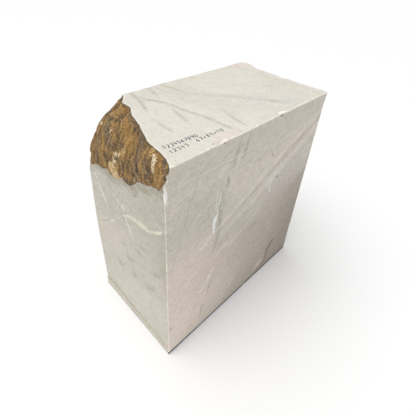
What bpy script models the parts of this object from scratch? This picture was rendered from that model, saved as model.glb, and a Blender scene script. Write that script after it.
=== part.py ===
"""Marble block: one sawn block of veined marble with a weathered, broken upper end.

Frame: +X along the long side, +Y through the block, +Z up. The origin is on
the ground under the middle of the block. The broken end is at -X.
Lengths are in metres.
"""

import math

import bmesh
import bpy
from mathutils import Euler, Matrix, Vector, noise

# ---------------------------------------------------------------- dimensions
HEIGHT = 0.762          # 30 in, ground to sawn top
DEPTH = 0.381           # 15 in, between the two big faces
SAWN_LENGTH = 0.686     # 27 in, between the sawn ends
LIP = 0.020             # how far the unsawn lip stands proud of the +X end
LENGTH = SAWN_LENGTH + LIP

X_LEFT = -LENGTH / 2                 # outer face of the ledge on the -X end
X_RIGHT = X_LEFT + SAWN_LENGTH       # sawn +X end
Y_FRONT = -DEPTH / 2
Y_BACK = DEPTH / 2

ARRIS = 0.004           # worn width of the sawn edges

# the weathered break on top of the -X end: how far it reaches along the top
# face, and how far it drops down the end face, for places along Y
BREAK_REACH = (
    (-0.190, 0.016), (-0.172, 0.024), (-0.150, 0.034), (-0.105, 0.041),
    (-0.076, 0.044), (-0.046, 0.056), (-0.015, 0.069), (0.029, 0.084),
    (0.071, 0.099), (0.099, 0.115), (0.141, 0.118), (0.178, 0.144),
    (0.190, 0.150),
)
BREAK_DROP = (
    (-0.190, 0.060), (-0.170, 0.062), (-0.147, 0.066), (-0.115, 0.079),
    (-0.092, 0.087), (-0.078, 0.100), (-0.061, 0.114), (-0.035, 0.119),
    (0.000, 0.130), (0.033, 0.137), (0.070, 0.135), (0.110, 0.142),
    (0.153, 0.165), (0.190, 0.192),
)
# its profile, as shares of that reach and drop: a slope that steepens
BREAK_PROFILE = (
    (0.00, 1.00, 0.000), (0.20, 0.72, 0.145), (0.42, 0.42, 0.285),
    (0.58, 0.235, 0.440), (0.72, 0.105, 0.600), (0.85, 0.060, 0.790),
    (1.00, 0.00, 1.000),
)
BREAK_RIDGE = 0.009     # height of the ridges that run down the break

# the end face below the break is set in a little behind its foot ledge
LEDGE_FRONT = 0.029     # height of the foot ledge at the front edge
LEDGE_BACK = 0.041      # and at the back edge
LEDGE_STEP = 0.0018     # how far it stands proud at the front
LEDGE_STEP_BACK = 0.0045
BACK_LEAN = 0.010       # extra wear of the back edge towards the top

# the lip left on the +X end by its back edge
LIP_Y = 0.166
LIP_WIDTH = 0.034


# ------------------------------------------------------------------- helpers
def smooth(a, b, x):
    t = min(1.0, max(0.0, (x - a) / (b - a)))
    return t * t * (3.0 - 2.0 * t)


def along(table, x):
    """Straight-line reading of a table of (place, value)."""
    if x <= table[0][0]:
        return table[0][1]
    for (x0, v0), (x1, v1) in zip(table, table[1:]):
        if x <= x1:
            return v0 + (v1 - v0) * (x - x0) / (x1 - x0)
    return table[-1][1]


def end_inset(y, z):
    """How far the -X end face lies behind the ledge's outer face."""
    s = min(1.0, max(0.0, (y - Y_FRONT) / DEPTH))
    lean = BACK_LEAN * s ** 2.2 * smooth(0.22, 0.62, z)
    return LEDGE_STEP + (LEDGE_STEP_BACK - LEDGE_STEP) * s + lean


def break_point(y, t):
    """Point (x, z) of the weathered break; t = 0 on the top, 1 on the end face."""
    drop = along(BREAK_DROP, y)
    inset = end_inset(y, HEIGHT - drop)
    reach = along(BREAK_REACH, y) - inset
    u = along([(p[0], p[1]) for p in BREAK_PROFILE], t)
    v = along([(p[0], p[2]) for p in BREAK_PROFILE], t)
    # ridges follow the slope, so they mostly vary along Y
    fade = math.sin(math.pi * t) ** 0.9 if 0 < t < 1 else 0.0
    n = (
        noise.noise(Vector((y / 0.060, 1.3 * t, 3.7)))
        + 0.55 * noise.noise(Vector((y / 0.026, 2.2 * t, 9.1)))
    )
    push = BREAK_RIDGE * fade * n
    x = X_LEFT + inset + reach * u + push * 0.75
    z = HEIGHT - drop * v - push * 0.65
    return x, z


def ledge_height(y):
    s = min(1.0, max(0.0, (y - Y_FRONT) / DEPTH))
    wave = 0.0012 * math.sin(2 * math.pi * y / 0.11 + 0.8)
    return LEDGE_FRONT + (LEDGE_BACK - LEDGE_FRONT) * s + wave


def lip(y, z):
    """How far the +X end stands proud of its sawn plane."""
    bump = math.exp(-(((y - LIP_Y) / LIP_WIDTH) ** 2))
    notch = 0.004 * math.exp(-(((y - 0.088) / 0.012) ** 2)) * smooth(0.70, 0.76, z)
    taper = 0.35 + 0.65 * smooth(0.30, 0.74, z)
    return min(LIP, 1.02 * LIP * bump * taper) - notch


def material(name, rgb, roughness):
    m = bpy.data.materials.new(name)
    m.use_nodes = True
    p = m.node_tree.nodes["Principled BSDF"]
    p.inputs["Base Color"].default_value = (*rgb, 1.0)
    p.inputs["Roughness"].default_value = roughness
    p.inputs["Metallic"].default_value = 0.0
    m.diffuse_color = (*rgb, 1.0)
    return m


def mesh_object(name, bm, collection):
    bmesh.ops.recalc_face_normals(bm, faces=bm.faces[:])
    me = bpy.data.meshes.new(name)
    bm.to_mesh(me)
    bm.free()
    ob = bpy.data.objects.new(name, me)
    collection.objects.link(ob)
    return ob


def loft(name, sections, collection):
    """Closed body through sections that have the same number of points."""
    bm = bmesh.new()
    rings = [[bm.verts.new(p) for p in s] for s in sections]
    n = len(sections[0])
    for r0, r1 in zip(rings, rings[1:]):
        for i in range(n):
            j = (i + 1) % n
            bm.faces.new((r0[i], r0[j], r1[j], r1[i]))
    bm.faces.new(rings[0])
    bm.faces.new(list(reversed(rings[-1])))
    return mesh_object(name, bm, collection)


def as_cutter(ob):
    ob.hide_render = True
    ob.display_type = "WIRE"


def cut(target, cutter, operation="DIFFERENCE"):
    m = target.modifiers.new(f"cut {cutter.name}", "BOOLEAN")
    m.operation = operation
    m.object = cutter
    m.solver = "EXACT"
    as_cutter(cutter)


def chip(name, centre, size, angles, collection):
    """A small rotated block that knocks a flake off an edge."""
    bm = bmesh.new()
    bmesh.ops.create_cube(bm, size=1.0)
    bmesh.ops.scale(bm, vec=Vector(size), verts=bm.verts)
    turn = Euler([math.radians(a) for a in angles]).to_matrix().to_4x4()
    bmesh.ops.transform(bm, matrix=Matrix.Translation(Vector(centre)) @ turn, verts=bm.verts)
    return mesh_object(name, bm, collection)


# --------------------------------------------------------------------- scene
for ob in list(bpy.data.objects):
    bpy.data.objects.remove(ob, do_unlink=True)

parts = bpy.data.collections.new("marble block")
cutters = bpy.data.collections.new("cutters")
bpy.context.scene.collection.children.link(parts)
bpy.context.scene.collection.children.link(cutters)

# the sawn block, with its worn edges
bm = bmesh.new()
bmesh.ops.create_cube(bm, size=1.0)
bmesh.ops.scale(bm, vec=Vector((LENGTH, DEPTH, HEIGHT)), verts=bm.verts)
bmesh.ops.translate(bm, vec=Vector((0.0, 0.0, HEIGHT / 2)), verts=bm.verts)
bmesh.ops.bevel(
    bm, geom=bm.edges[:], offset=ARRIS, offset_type="OFFSET", segments=2,
    profile=0.5, affect="EDGES", clamp_overlap=True,
)
block = mesh_object("marble_block", bm, parts)
block.data.materials.append(material("marble", (0.70, 0.67, 0.61), 0.55))

# everything cut from the -X end: the weathered break, then the set-back face
# down to the top of the foot ledge
STATIONS = 45
sections = []
for i in range(STATIONS):
    y = Y_FRONT - 0.010 + (DEPTH + 0.020) * i / (STATIONS - 1)
    yc = min(Y_BACK, max(Y_FRONT, y))
    ring = []
    x0, z0 = break_point(yc, 0.0)
    ring.append((x0 + 0.020, y, HEIGHT + 0.012))
    for k in range(16):
        x, z = break_point(yc, k / 15)
        ring.append((x, y, z))
    z_break = ring[-1][2]
    z_ledge = ledge_height(yc)
    for k in range(1, 10):
        z = z_break + (z_ledge - z_break) * k / 9
        ring.append((X_LEFT + end_inset(yc, z), y, z))
    ring.append((X_LEFT - 0.020, y, z_ledge - 0.002))
    ring.append((X_LEFT - 0.020, y, HEIGHT + 0.012))
    sections.append(ring)
cut(block, loft("cut left end", sections, cutters))

# the +X end: sawn flat, all but the lip beside its back edge
sections = []
for i in range(33):
    y = Y_FRONT - 0.010 + (DEPTH + 0.020) * i / 32
    yc = min(Y_BACK, max(Y_FRONT, y))
    ring = []
    for k in range(13):
        z = -0.010 + (HEIGHT + 0.020) * k / 12
        ring.append((X_RIGHT + lip(yc, min(HEIGHT, max(0.0, z))) + 1e-5, y, z))
    ring.append((X_RIGHT + LIP + 0.030, y, HEIGHT + 0.010))
    ring.append((X_RIGHT + LIP + 0.030, y, -0.010))
    sections.append(ring)
cut(block, loft("cut right end", sections, cutters))

# flakes broken from the edges
cut(block, chip("flake far corner", (X_RIGHT + 0.004, 0.176, HEIGHT + 0.0165),
                (0.120, 0.110, 0.040), (-6.0, 7.0, 18.0), cutters))
cut(block, chip("flake front edge", (X_RIGHT - 0.253, Y_FRONT - 0.001, HEIGHT + 0.001),
                (0.016, 0.009, 0.009), (38.0, 8.0, 4.0), cutters))
cut(block, chip("flake near corner", (X_LEFT + 0.0005, Y_FRONT - 0.001, 0.6975),
                (0.012, 0.010, 0.014), (0.0, 12.0, 42.0), cutters))
cut(block, chip("flake right corner", (X_RIGHT + 0.001, Y_FRONT - 0.001, HEIGHT - 0.001),
                (0.014, 0.014, 0.014), (45.0, 35.0, 0.0), cutters))
cut(block, chip("flake back foot", (X_LEFT - 0.0005, Y_BACK + 0.001, 0.030),
                (0.016, 0.016, 0.030), (10.0, 4.0, 45.0), cutters))
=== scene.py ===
import math

import bpy
import numpy as np
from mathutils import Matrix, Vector, kdtree
from mathutils.bvhtree import BVHTree


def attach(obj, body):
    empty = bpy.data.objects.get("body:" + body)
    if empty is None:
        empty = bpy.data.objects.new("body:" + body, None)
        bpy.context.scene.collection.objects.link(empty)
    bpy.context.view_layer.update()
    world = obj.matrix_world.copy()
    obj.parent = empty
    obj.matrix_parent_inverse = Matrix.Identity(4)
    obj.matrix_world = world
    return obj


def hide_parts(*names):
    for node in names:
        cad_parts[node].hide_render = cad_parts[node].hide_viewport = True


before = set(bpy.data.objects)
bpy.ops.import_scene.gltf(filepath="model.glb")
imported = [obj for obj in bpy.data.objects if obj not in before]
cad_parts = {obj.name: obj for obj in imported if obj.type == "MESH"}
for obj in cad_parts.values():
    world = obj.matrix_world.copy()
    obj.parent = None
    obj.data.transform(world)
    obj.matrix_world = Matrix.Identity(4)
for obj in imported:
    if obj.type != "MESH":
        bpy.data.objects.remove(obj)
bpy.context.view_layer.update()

# ---------------------------------------------------------------- dimensions
HEIGHT, DEPTH, SAWN, LIP = 0.762, 0.381, 0.686, 0.020
XL = -(SAWN + LIP) / 2
XR = XL + SAWN
YF, YB = -DEPTH / 2, DEPTH / 2

REACH = np.array((
    (-0.190, 0.0165), (-0.181, 0.0215), (-0.172, 0.025), (-0.162, 0.030), (-0.150, 0.034),
    (-0.128, 0.038), (-0.105, 0.0405), (-0.090, 0.042), (-0.076, 0.0445), (-0.060, 0.051),
    (-0.046, 0.057), (-0.030, 0.063), (-0.015, 0.069), (0.008, 0.078), (0.029, 0.084),
    (0.050, 0.090), (0.071, 0.099), (0.085, 0.108), (0.099, 0.115), (0.120, 0.118),
    (0.135, 0.1155), (0.146, 0.119), (0.160, 0.131), (0.178, 0.144), (0.190, 0.150)))
DROP = np.array((
    (-0.190, 0.064), (-0.181, 0.063), (-0.166, 0.0655), (-0.1545, 0.0688), (-0.144, 0.0692), (-0.1366, 0.072),
    (-0.1228, 0.080), (-0.1146, 0.082), (-0.1006, 0.0857), (-0.089, 0.0896), (-0.076, 0.1015), (-0.066, 0.112),
    (-0.049, 0.1245), (-0.036, 0.128), (-0.023, 0.1268), (-0.014, 0.1245), (-0.004, 0.1252), (0.0046, 0.1346),
    (0.0168, 0.144), (0.0317, 0.148), (0.0463, 0.1487), (0.0575, 0.1455), (0.064, 0.138), (0.075, 0.143),
    (0.101, 0.154), (0.1175, 0.155), (0.135, 0.159), (0.161, 0.1756), (0.181, 0.183), (0.190, 0.192)))
PROFILE = np.array((
    (0.00, 1.00, 0.000), (0.20, 0.72, 0.145), (0.42, 0.42, 0.285), (0.58, 0.235, 0.440),
    (0.72, 0.105, 0.600), (0.85, 0.060, 0.790), (1.00, 0.00, 1.000)))


# -------------------------------------------------------------------- noise
def _hash(ix, iy, iz, seed):
    h = (ix.astype(np.uint64) * np.uint64(0x9E3779B1)
         ^ iy.astype(np.uint64) * np.uint64(0x85EBCA77)
         ^ iz.astype(np.uint64) * np.uint64(0xC2B2AE3D)
         ^ np.uint64(seed * 0x27D4EB2F & 0xFFFFFFFF))
    h &= np.uint64(0xFFFFFFFF)
    h ^= h >> np.uint64(15)
    h = (h * np.uint64(0x2C1B3C6D)) & np.uint64(0xFFFFFFFF)
    h ^= h >> np.uint64(12)
    h = (h * np.uint64(0x297A2D39)) & np.uint64(0xFFFFFFFF)
    h ^= h >> np.uint64(15)
    return h.astype(np.float64) / 4294967295.0


def vnoise(p, seed=0):
    """Smooth value noise in -1..1 for an array of points (..., 3)."""
    p = np.asarray(p, float) + 1000.0
    i = np.floor(p).astype(np.int64)
    f = p - i
    f = f * f * f * (f * (f * 6 - 15) + 10)
    out = 0.0
    for dx in (0, 1):
        wx = f[..., 0] if dx else 1 - f[..., 0]
        for dy in (0, 1):
            wy = f[..., 1] if dy else 1 - f[..., 1]
            for dz in (0, 1):
                wz = f[..., 2] if dz else 1 - f[..., 2]
                out = out + wx * wy * wz * _hash(i[..., 0] + dx, i[..., 1] + dy, i[..., 2] + dz, seed)
    return 2 * out - 1


def fbm(p, octaves=4, seed=0, gain=0.5):
    total, amp, norm = 0.0, 1.0, 0.0
    q = np.asarray(p, float)
    for o in range(octaves):
        total = total + amp * vnoise(q, seed + 17 * o)
        norm += amp
        amp *= gain
        q = q * 2.03 + 7.1
    return total / norm


def vec(*parts):
    return np.stack(np.broadcast_arrays(*parts), axis=-1)


def smooth(a, b, x):
    t = np.clip((x - a) / (b - a), 0, 1)
    return t * t * (3 - 2 * t)


def pchip(table, x):
    """Monotone cubic reading of a table with columns (place, value)."""
    xs, ys = table[:, 0], table[:, 1]
    h, d = np.diff(xs), np.diff(ys) / np.diff(xs)
    m = np.zeros_like(xs)
    m[0], m[-1] = d[0], d[-1]
    for k in range(1, len(xs) - 1):
        if d[k - 1] * d[k] > 0:
            w1, w2 = 2 * h[k] + h[k - 1], h[k] + 2 * h[k - 1]
            m[k] = (w1 + w2) / (w1 / d[k - 1] + w2 / d[k])
    x = np.clip(x, xs[0], xs[-1])
    k = np.clip(np.searchsorted(xs, x) - 1, 0, len(xs) - 2)
    t = (x - xs[k]) / h[k]
    return ((1 + 2 * t) * (1 - t) ** 2 * ys[k] + t * (1 - t) ** 2 * h[k] * m[k]
            + t * t * (3 - 2 * t) * ys[k + 1] + t * t * (t - 1) * h[k] * m[k + 1])


# ------------------------------------------------------------ shape functions
def reach(y):
    return pchip(REACH, y) + 0.0011 * fbm(vec(y / 0.013, 0.0 * y, 0.0 * y), 3, 5)


def drop(y):
    return pchip(DROP, y) + 0.0019 * fbm(vec(y / 0.012, 0.0 * y, 4.0 + 0.0 * y), 3, 9)


def end_inset(y, z):
    s = np.clip((y - YF) / DEPTH, 0, 1)
    return 0.0018 + 0.0015 * s + 0.010 * s ** 2.2 * smooth(0.30, 0.66, z)


def ledge_height(y):
    s = np.clip((y - YF) / DEPTH, 0, 1)
    return 0.029 + 0.012 * s + 0.0012 * np.sin(2 * np.pi * y / 0.11 + 0.8) \
        + 0.0008 * fbm(vec(y / 0.016, 2.0 + 0 * y, 0 * y), 3, 3)


LIP_TOP = np.array((                                      # how far the +X end's top edge stands out
    (-0.1905, 0.0055), (-0.166, 0.0060), (-0.154, 0.0030), (-0.138, 0.0015), (-0.115, 0.0005), (-0.060, 0.0),
    (-0.036, -0.0005), (-0.023, -0.0055), (-0.010, -0.0085), (0.002, -0.0020), (0.020, -0.0012), (0.035, -0.0020),
    (0.050, -0.0010), (0.064, -0.0010), (0.078, -0.0005), (0.092, -0.0030), (0.106, -0.0005), (0.117, 0.0050),
    (0.130, 0.0115), (0.152, 0.0190), (0.168, 0.0200), (0.177, 0.0190), (0.184, 0.0130), (0.1905, 0.0070)))


def lip(y, z):
    bump = np.exp(-(((y - 0.166) / 0.034) ** 2))
    taper = 0.35 + 0.65 * smooth(0.30, 0.74, z)
    low = np.minimum(LIP, 1.02 * LIP * bump * taper)
    return low + (pchip(LIP_TOP, y) - low) * smooth(0.722, 0.757, z)


def spaced(length, ends, step, start=True, stop=True):
    """Distances 0..length: short steps by the ends, then steps that grow to `step`."""
    rows = [0.0]
    run = list(np.cumsum(ends))
    head = run if start else []
    tail = [length - r for r in reversed(run)] if stop else []
    lo = head[-1] if head else 0.0
    hi = tail[0] if tail else length
    n = max(1, int(round((hi - lo) / step)))
    middle = [lo + (hi - lo) * k / n for k in range(1 if head else 1, n if tail else n)]
    return np.array(rows + head + middle + tail + [length])


EDGE = (0.0011, 0.0013, 0.0018, 0.0027, 0.0040)
Y = YF + spaced(DEPTH, EDGE, 0.0043)
NY = len(Y) - 1

N_UP, N_DOWN = 35, 45                         # grid cells over the break, above and below its middle


def crust_curve(y, n=240):
    """The break's outline in the XZ plane at y, from the end face up to the top: points, arc lengths."""
    dr = float(drop(np.array([y]))[0])
    inset = float(end_inset(np.array([y]), np.array([HEIGHT - dr]))[0])
    re = float(reach(np.array([y]))[0]) - inset
    t = np.linspace(1, 0, n)
    u = pchip(PROFILE[:, (0, 1)], t)
    v = pchip(PROFILE[:, (0, 2)], t)
    x = XL + inset + re * u
    z = HEIGHT - dr * v
    s = np.concatenate([[0], np.cumsum(np.hypot(np.diff(x), np.diff(z)))])
    return x, z, s


FAR_RIM = np.array(((0.0, 0.0), (0.008, -0.0020), (0.020, -0.0042), (0.032, -0.0046), (0.045, -0.0030), (0.060, -0.0024),
                    (0.075, -0.0022), (0.083, -0.0045), (0.095, -0.0062), (0.111, -0.0050), (0.137, -0.0052), (0.155, -0.0025),
                    (0.173, 0.0015), (0.20, 0.0018)))


def crust_relief(y, s, total):
    """Height of the break's surface over its mean one; s is the way up from the end face."""
    down = total - s
    w = y + 0.77 * down
    big = fbm(vec(w / 0.060, down / 0.150, 0 * w), 3, 21)
    warp = 0.35 * fbm(vec(w / 0.030, down / 0.050, 3 + 0 * w), 2, 31)
    r1 = 1 - np.abs(fbm(vec(w / 0.022 + warp, down / 0.110, 0 * w), 2, 41)) * 2.2
    r2 = 1 - np.abs(fbm(vec(w / 0.0105 + warp, down / 0.050, 5 + 0 * w), 2, 51)) * 2.2
    grain = fbm(vec(w / 0.0075, down / 0.0095, 0 * w), 2, 61)
    step = np.tanh(6 * fbm(vec(w / 0.045, down / 0.038, 8 + 0 * w), 2, 71))
    h = 0.0044 * big + 0.0010 * r1 + 0.0006 * r2 + 0.0014 * grain + 0.0021 * step
    # next to the back face it lies lower
    far = pchip(FAR_RIM, down) * smooth(0.10, 0.172, y)
    return h + far


def refine(xs, spots):
    """Columns pulled together about the spots (place, width), ends kept."""
    grid = np.linspace(0, 1, 2001)
    density = np.ones_like(grid)
    for at, wide, k in spots:
        density += k * np.exp(-(((grid - at) / wide) ** 2))
    cum = np.concatenate([[0], np.cumsum((density[1:] + density[:-1]) / 2)])
    cum /= cum[-1]
    return np.interp(xs, cum, grid)


top_rows, left_rows = [], []
n_face = n_rest = 0
ARC = []
for y in Y:
    x, z, s = crust_curve(y)
    total = s[-1]
    q = np.linspace(0, total, N_UP + N_DOWN + 1)
    # closer rows at both edges of the break
    q = q - total * 0.035 * np.sin(2 * np.pi * q / total) * 1.0 * 1.3
    px, pz = np.interp(q, s, x), np.interp(q, s, z)
    tx, tz = np.gradient(px, q), np.gradient(pz, q)
    ln = np.hypot(tx, tz)
    nx_, nz_ = -tz / ln, tx / ln
    edge = np.minimum(q, total - q)
    h = crust_relief(np.full_like(q, y), q, total) * smooth(0.0, 0.014, edge)
    h -= 0.0015 * smooth(0.0, 0.004, edge) * (0.6 + 0.4 * math.sin(y * 300))
    px, pz = px + nx_ * h, pz + nz_ * h
    ARC.append(q)
    # the sawn top, from the break to the +X end
    x0 = px[-1]
    if not n_rest:
        base = np.linspace(0, 1, 97)
        base = refine(base, ((0.606, 0.022, 1.6), (0.24, 0.06, 0.5), (0.97, 0.03, 0.5)))
        n_rest = len(base) - 1 + 2 * len(EDGE)
    e0, e1 = x0 + np.cumsum(EDGE[:-1]), XR - np.cumsum(EDGE)[::-1]
    m = x0 + np.sum(EDGE) + (XR - x0 - 2 * np.sum(EDGE)) * base
    xs = np.concatenate([e0, m[:-1], e1, [XR]])
    n_rest = len(xs)
    top = np.stack([np.concatenate([px[N_DOWN:], xs]),
                    np.full(N_UP + 1 + n_rest, y),
                    np.concatenate([pz[N_DOWN:], np.full(n_rest, HEIGHT)])], 1)
    # the end face, from the ground to the break
    zl = float(ledge_height(np.array([y]))[0])
    z_b = pz[0]
    low = np.concatenate([[0.0], np.cumsum(EDGE), np.linspace(np.sum(EDGE), zl - 0.0012, 5)[1:], [zl]])
    rise = z_b - (zl + 0.0008)
    if not n_face:
        n_face = int(rise / 0.0078)
    ends = np.array((0.0016, 0.0022, 0.0032, 0.0048))
    face = np.concatenate([[0], ends.cumsum(), np.linspace(ends.sum(), rise - ends.sum(), n_face)[1:-1],
                           rise - ends.cumsum()[::-1], [rise]]) + zl + 0.0008
    zf = np.concatenate([low, face[:-1]])
    xf = np.concatenate([np.full(len(low), XL), XL + end_inset(y, face[:-1])])
    left_rows.append(np.stack([np.concatenate([xf, px[:N_DOWN + 1]]),
                               np.full(len(zf) + N_DOWN + 1, y),
                               np.concatenate([zf, pz[:N_DOWN + 1]])], 1))
    top_rows.append(top)
TOP, LEFT, ARC = np.array(top_rows), np.array(left_rows), np.array(ARC)
NX, NZ = TOP.shape[1] - 1, LEFT.shape[1] - 1
N_FLAT = NZ - N_DOWN                                     # rows of the end face below the break

# the other two sides of each section: their rows lie level with the end face's
RIGHT, BOTTOM = [], []
foot = EDGE[0], *np.cumsum(EDGE)[1:]
for j, y in enumerate(Y):
    z_up = np.maximum.accumulate(LEFT[j, :, 2])
    z_up = (z_up - z_up[0]) / (z_up[-1] - z_up[0])
    even = np.linspace(0, 1, NZ + 1)
    z_far = HEIGHT * (0.55 * z_up + 0.45 * even) if j not in (0, NY) else HEIGHT * (0.55 * z_up + 0.45 * even)
    # LEFT stops at the middle of the break: carry the rows on to the full height
    z_far = np.where(np.arange(NZ + 1) < 6, np.concatenate([[0], np.cumsum(EDGE), [0] * (NZ - 5)]), z_far)
    z_far[-1 - len(EDGE):-1] = HEIGHT - np.cumsum(EDGE)[::-1]
    z_far = np.sort(z_far)
    for _ in range(6):
        z_far[6:-6] = (z_far[5:-7] + 2 * z_far[6:-6] + z_far[7:-5]) / 4
    RIGHT.append(np.stack([XR + lip(y, z_far), np.full(NZ + 1, y), z_far], 1))
    xb = np.concatenate([XL + np.concatenate([[0], np.cumsum(EDGE[:-1])]),
                         np.linspace(XL + np.sum(EDGE), XR - np.sum(EDGE), NX + 1 - 2 * len(EDGE)),
                         XR - np.cumsum(EDGE[:-1])[::-1], [XR]])
    BOTTOM.append(np.stack([xb, np.full(NX + 1, y), np.zeros(NX + 1)], 1))
RIGHT, BOTTOM = np.array(RIGHT), np.array(BOTTOM)
for j in range(NY + 1):
    for a, z in ((TOP, HEIGHT), (BOTTOM, 0.0)):
        push = float(lip(np.array([Y[j]]), np.array([z]))[0])
        a[j, :, 0] += push * smooth(XR - 0.06, XR, a[j, :, 0])
    RIGHT[j, 0], RIGHT[j, -1] = BOTTOM[j, -1], TOP[j, -1]
    LEFT[j, 0] = BOTTOM[j, 0]


def cap(j):
    """The big face at station j, stretched between its four edges."""
    left, right, top, bottom = LEFT[j], RIGHT[j], TOP[j], BOTTOM[j]
    k = np.arange(NZ + 1) / NZ
    i = np.arange(NX + 1) / NX

    def share(a):
        d = np.concatenate([[0], np.cumsum(np.linalg.norm(np.diff(a, axis=0), axis=1))])
        return d / d[-1]

    U = (1 - k)[:, None] * share(bottom)[None] + k[:, None] * share(top)[None]
    V = (1 - i)[None] * share(left)[:, None] + i[None] * share(right)[:, None]
    U, V = U[..., None], V[..., None]
    return ((1 - U) * left[:, None] + U * right[:, None] + (1 - V) * bottom[None] + V * top[None]
            - (1 - U) * (1 - V) * bottom[0] - U * (1 - V) * bottom[-1]
            - (1 - U) * V * top[0] - U * V * top[-1])     # [k, i]


FRONT, BACK = cap(0), cap(NY)

# ---------------------------------------------------------- one closed mesh
number = -np.ones((NX + 1, NY + 1, NZ + 1), np.int64)
points = []


def add(ids, pts):
    for (a, b, c), p in zip(ids.reshape(-1, 3), pts.reshape(-1, 3)):
        if number[a, b, c] < 0:
            number[a, b, c] = len(points)
            points.append(p)


I, J, K = np.arange(NX + 1), np.arange(NY + 1), np.arange(NZ + 1)
gj, gi = np.meshgrid(J, I, indexing="ij")
add(np.stack([gi, gj, np.full_like(gi, NZ)], -1), TOP)
add(np.stack([gi, gj, np.zeros_like(gi)], -1), BOTTOM)
gj, gk = np.meshgrid(J, K, indexing="ij")
add(np.stack([np.zeros_like(gj), gj, gk], -1), LEFT)
add(np.stack([np.full_like(gj, NX), gj, gk], -1), RIGHT)
gk, gi = np.meshgrid(K, I, indexing="ij")
add(np.stack([gi, np.zeros_like(gi), gk], -1), FRONT)
add(np.stack([gi, np.full_like(gi, NY), gk], -1), BACK)
P = np.array(points)
P0 = P.copy()


def quads(a):
    return np.stack([a[:-1, :-1], a[1:, :-1], a[1:, 1:], a[:-1, 1:]], -1)


top_q, left_q = quads(number[:, :, NZ]), quads(number[0, :, :])
sheets = {
    "front": (quads(number[:, 0, :]).reshape(-1, 4), (0, -1, 0)),
    "back": (quads(number[:, NY, :]).reshape(-1, 4), (0, 1, 0)),
    "right": (quads(number[NX, :, :]).reshape(-1, 4), (1, 0, 0)),
    "bottom": (quads(number[:, :, 0]).reshape(-1, 4), (0, 0, -1)),
    "top": (top_q[N_UP:].reshape(-1, 4), (0, 0, 1)),
    "left": (left_q[:, :N_FLAT].reshape(-1, 4), (-1, 0, 0)),
    "crust": (np.concatenate([top_q[:N_UP].reshape(-1, 4), left_q[:, N_FLAT:].reshape(-1, 4)]), (-1, 0, 1)),
}


def facing(q, out):
    n = np.cross(P[q[:, 2]] - P[q[:, 0]], P[q[:, 3]] - P[q[:, 1]])
    return q[:, ::-1] if (n @ np.array(out)).sum() < 0 else q


up_q, low_q = (facing(a.reshape(-1, 4), (-1, 0, 1)) for a in (top_q[:N_UP], left_q[:, N_FLAT:]))
SHEETS = {name: facing(q, out) for name, (q, out) in sheets.items() if name != "crust"}
SHEETS["crust"] = np.concatenate([up_q, low_q])

# --------------------------------------- what the finish reads at each vertex
NV = len(P)
arc, total_at = np.full(NV, -1.0), np.ones(NV)
for j in range(NY + 1):
    ids = np.concatenate([number[0, j, N_FLAT:], number[1:N_UP + 1, j, NZ]])
    arc[ids], total_at[ids] = ARC[j], ARC[j][-1]
in_crust = arc >= 0
down = np.where(in_crust, total_at - arc, 0.0)
across = P[:, 1] + 0.77 * down


def nearest(ids):
    tree = kdtree.KDTree(len(ids))
    for n, i in enumerate(ids):
        tree.insert(P[i], n)
    tree.balance()
    return np.array([tree.find(p)[2] for p in P])


rim_ids = np.unique(np.concatenate([number[0, :, N_FLAT], number[N_UP, :, NZ],
                                    number[0, 0, N_FLAT:], number[0, NY, N_FLAT:],
                                    number[:N_UP, 0, NZ], number[:N_UP, NY, NZ]]))
rim = nearest(rim_ids)
crust_d = np.where(in_crust, rim, -rim)
arris_ids = np.unique(np.concatenate(
    [number[:, j, k] for j in (0, NY) for k in (0, NZ)]
    + [number[i, :, k] for i, k in ((NX, 0), (NX, NZ), (0, 0))]
    + [number[i, j, :] for i in (0, NX) for j in (0, NY)]
    + [number[0, :, N_FLAT], number[N_UP, :, NZ]]))
arris = nearest(arris_ids)

# ------------------------------------------------------------- surface detail
ring = np.concatenate(list(SHEETS.values()))
pairs = np.unique(np.sort(np.concatenate([ring[:, (0, 1)], ring[:, (1, 2)], ring[:, (2, 3)], ring[:, (3, 0)]]), 1), axis=0)
valence = np.bincount(pairs.ravel(), minlength=NV).astype(float)


def average(v):
    out = np.zeros_like(v)
    for c in range(v.shape[1]):
        out[:, c] = (np.bincount(pairs[:, 0], v[pairs[:, 1], c], NV)
                     + np.bincount(pairs[:, 1], v[pairs[:, 0], c], NV)) / valence
    return out


def vertex_normals():
    n = np.cross(P[ring[:, 2]] - P[ring[:, 0]], P[ring[:, 3]] - P[ring[:, 1]])
    out = np.zeros_like(P)
    for c in range(4):
        for a in range(3):
            out[:, a] += np.bincount(ring[:, c], n[:, a], NV)
    return out / np.maximum(np.linalg.norm(out, axis=1), 1e-12)[:, None]


N0 = vertex_normals()

# pale crystalline lumps stand a little proud of the break: centre, half size, height
LUMPS = (((-0.3359, 0.0274, 0.6868), 0.011, 0.0034), ((-0.3368, 0.0137, 0.6928), 0.008, 0.0022),
         ((-0.3417, 0.0360, 0.6747), 0.010, 0.0030), ((-0.3456, 0.0366, 0.6615), 0.009, 0.0024),
         ((-0.3458, 0.0400, 0.6400), 0.019, 0.0034), ((-0.3475, 0.0190, 0.6310), 0.016, 0.0030),
         ((-0.3208, -0.1087, 0.7565), 0.010, 0.0016), ((-0.3258, -0.1183, 0.7522), 0.010, 0.0032),
         ((-0.3324, -0.1298, 0.7516), 0.012, 0.0040), ((-0.3391, -0.1361, 0.7448), 0.010, 0.0034),
         ((-0.3438, -0.1405, 0.7387), 0.009, 0.0028), ((-0.3102, 0.0889, 0.7224), 0.006, 0.0022),
         ((-0.2683, 0.1598, 0.7309), 0.009, 0.0022), ((-0.2958, 0.1740, 0.7024), 0.008, 0.0020))
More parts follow.
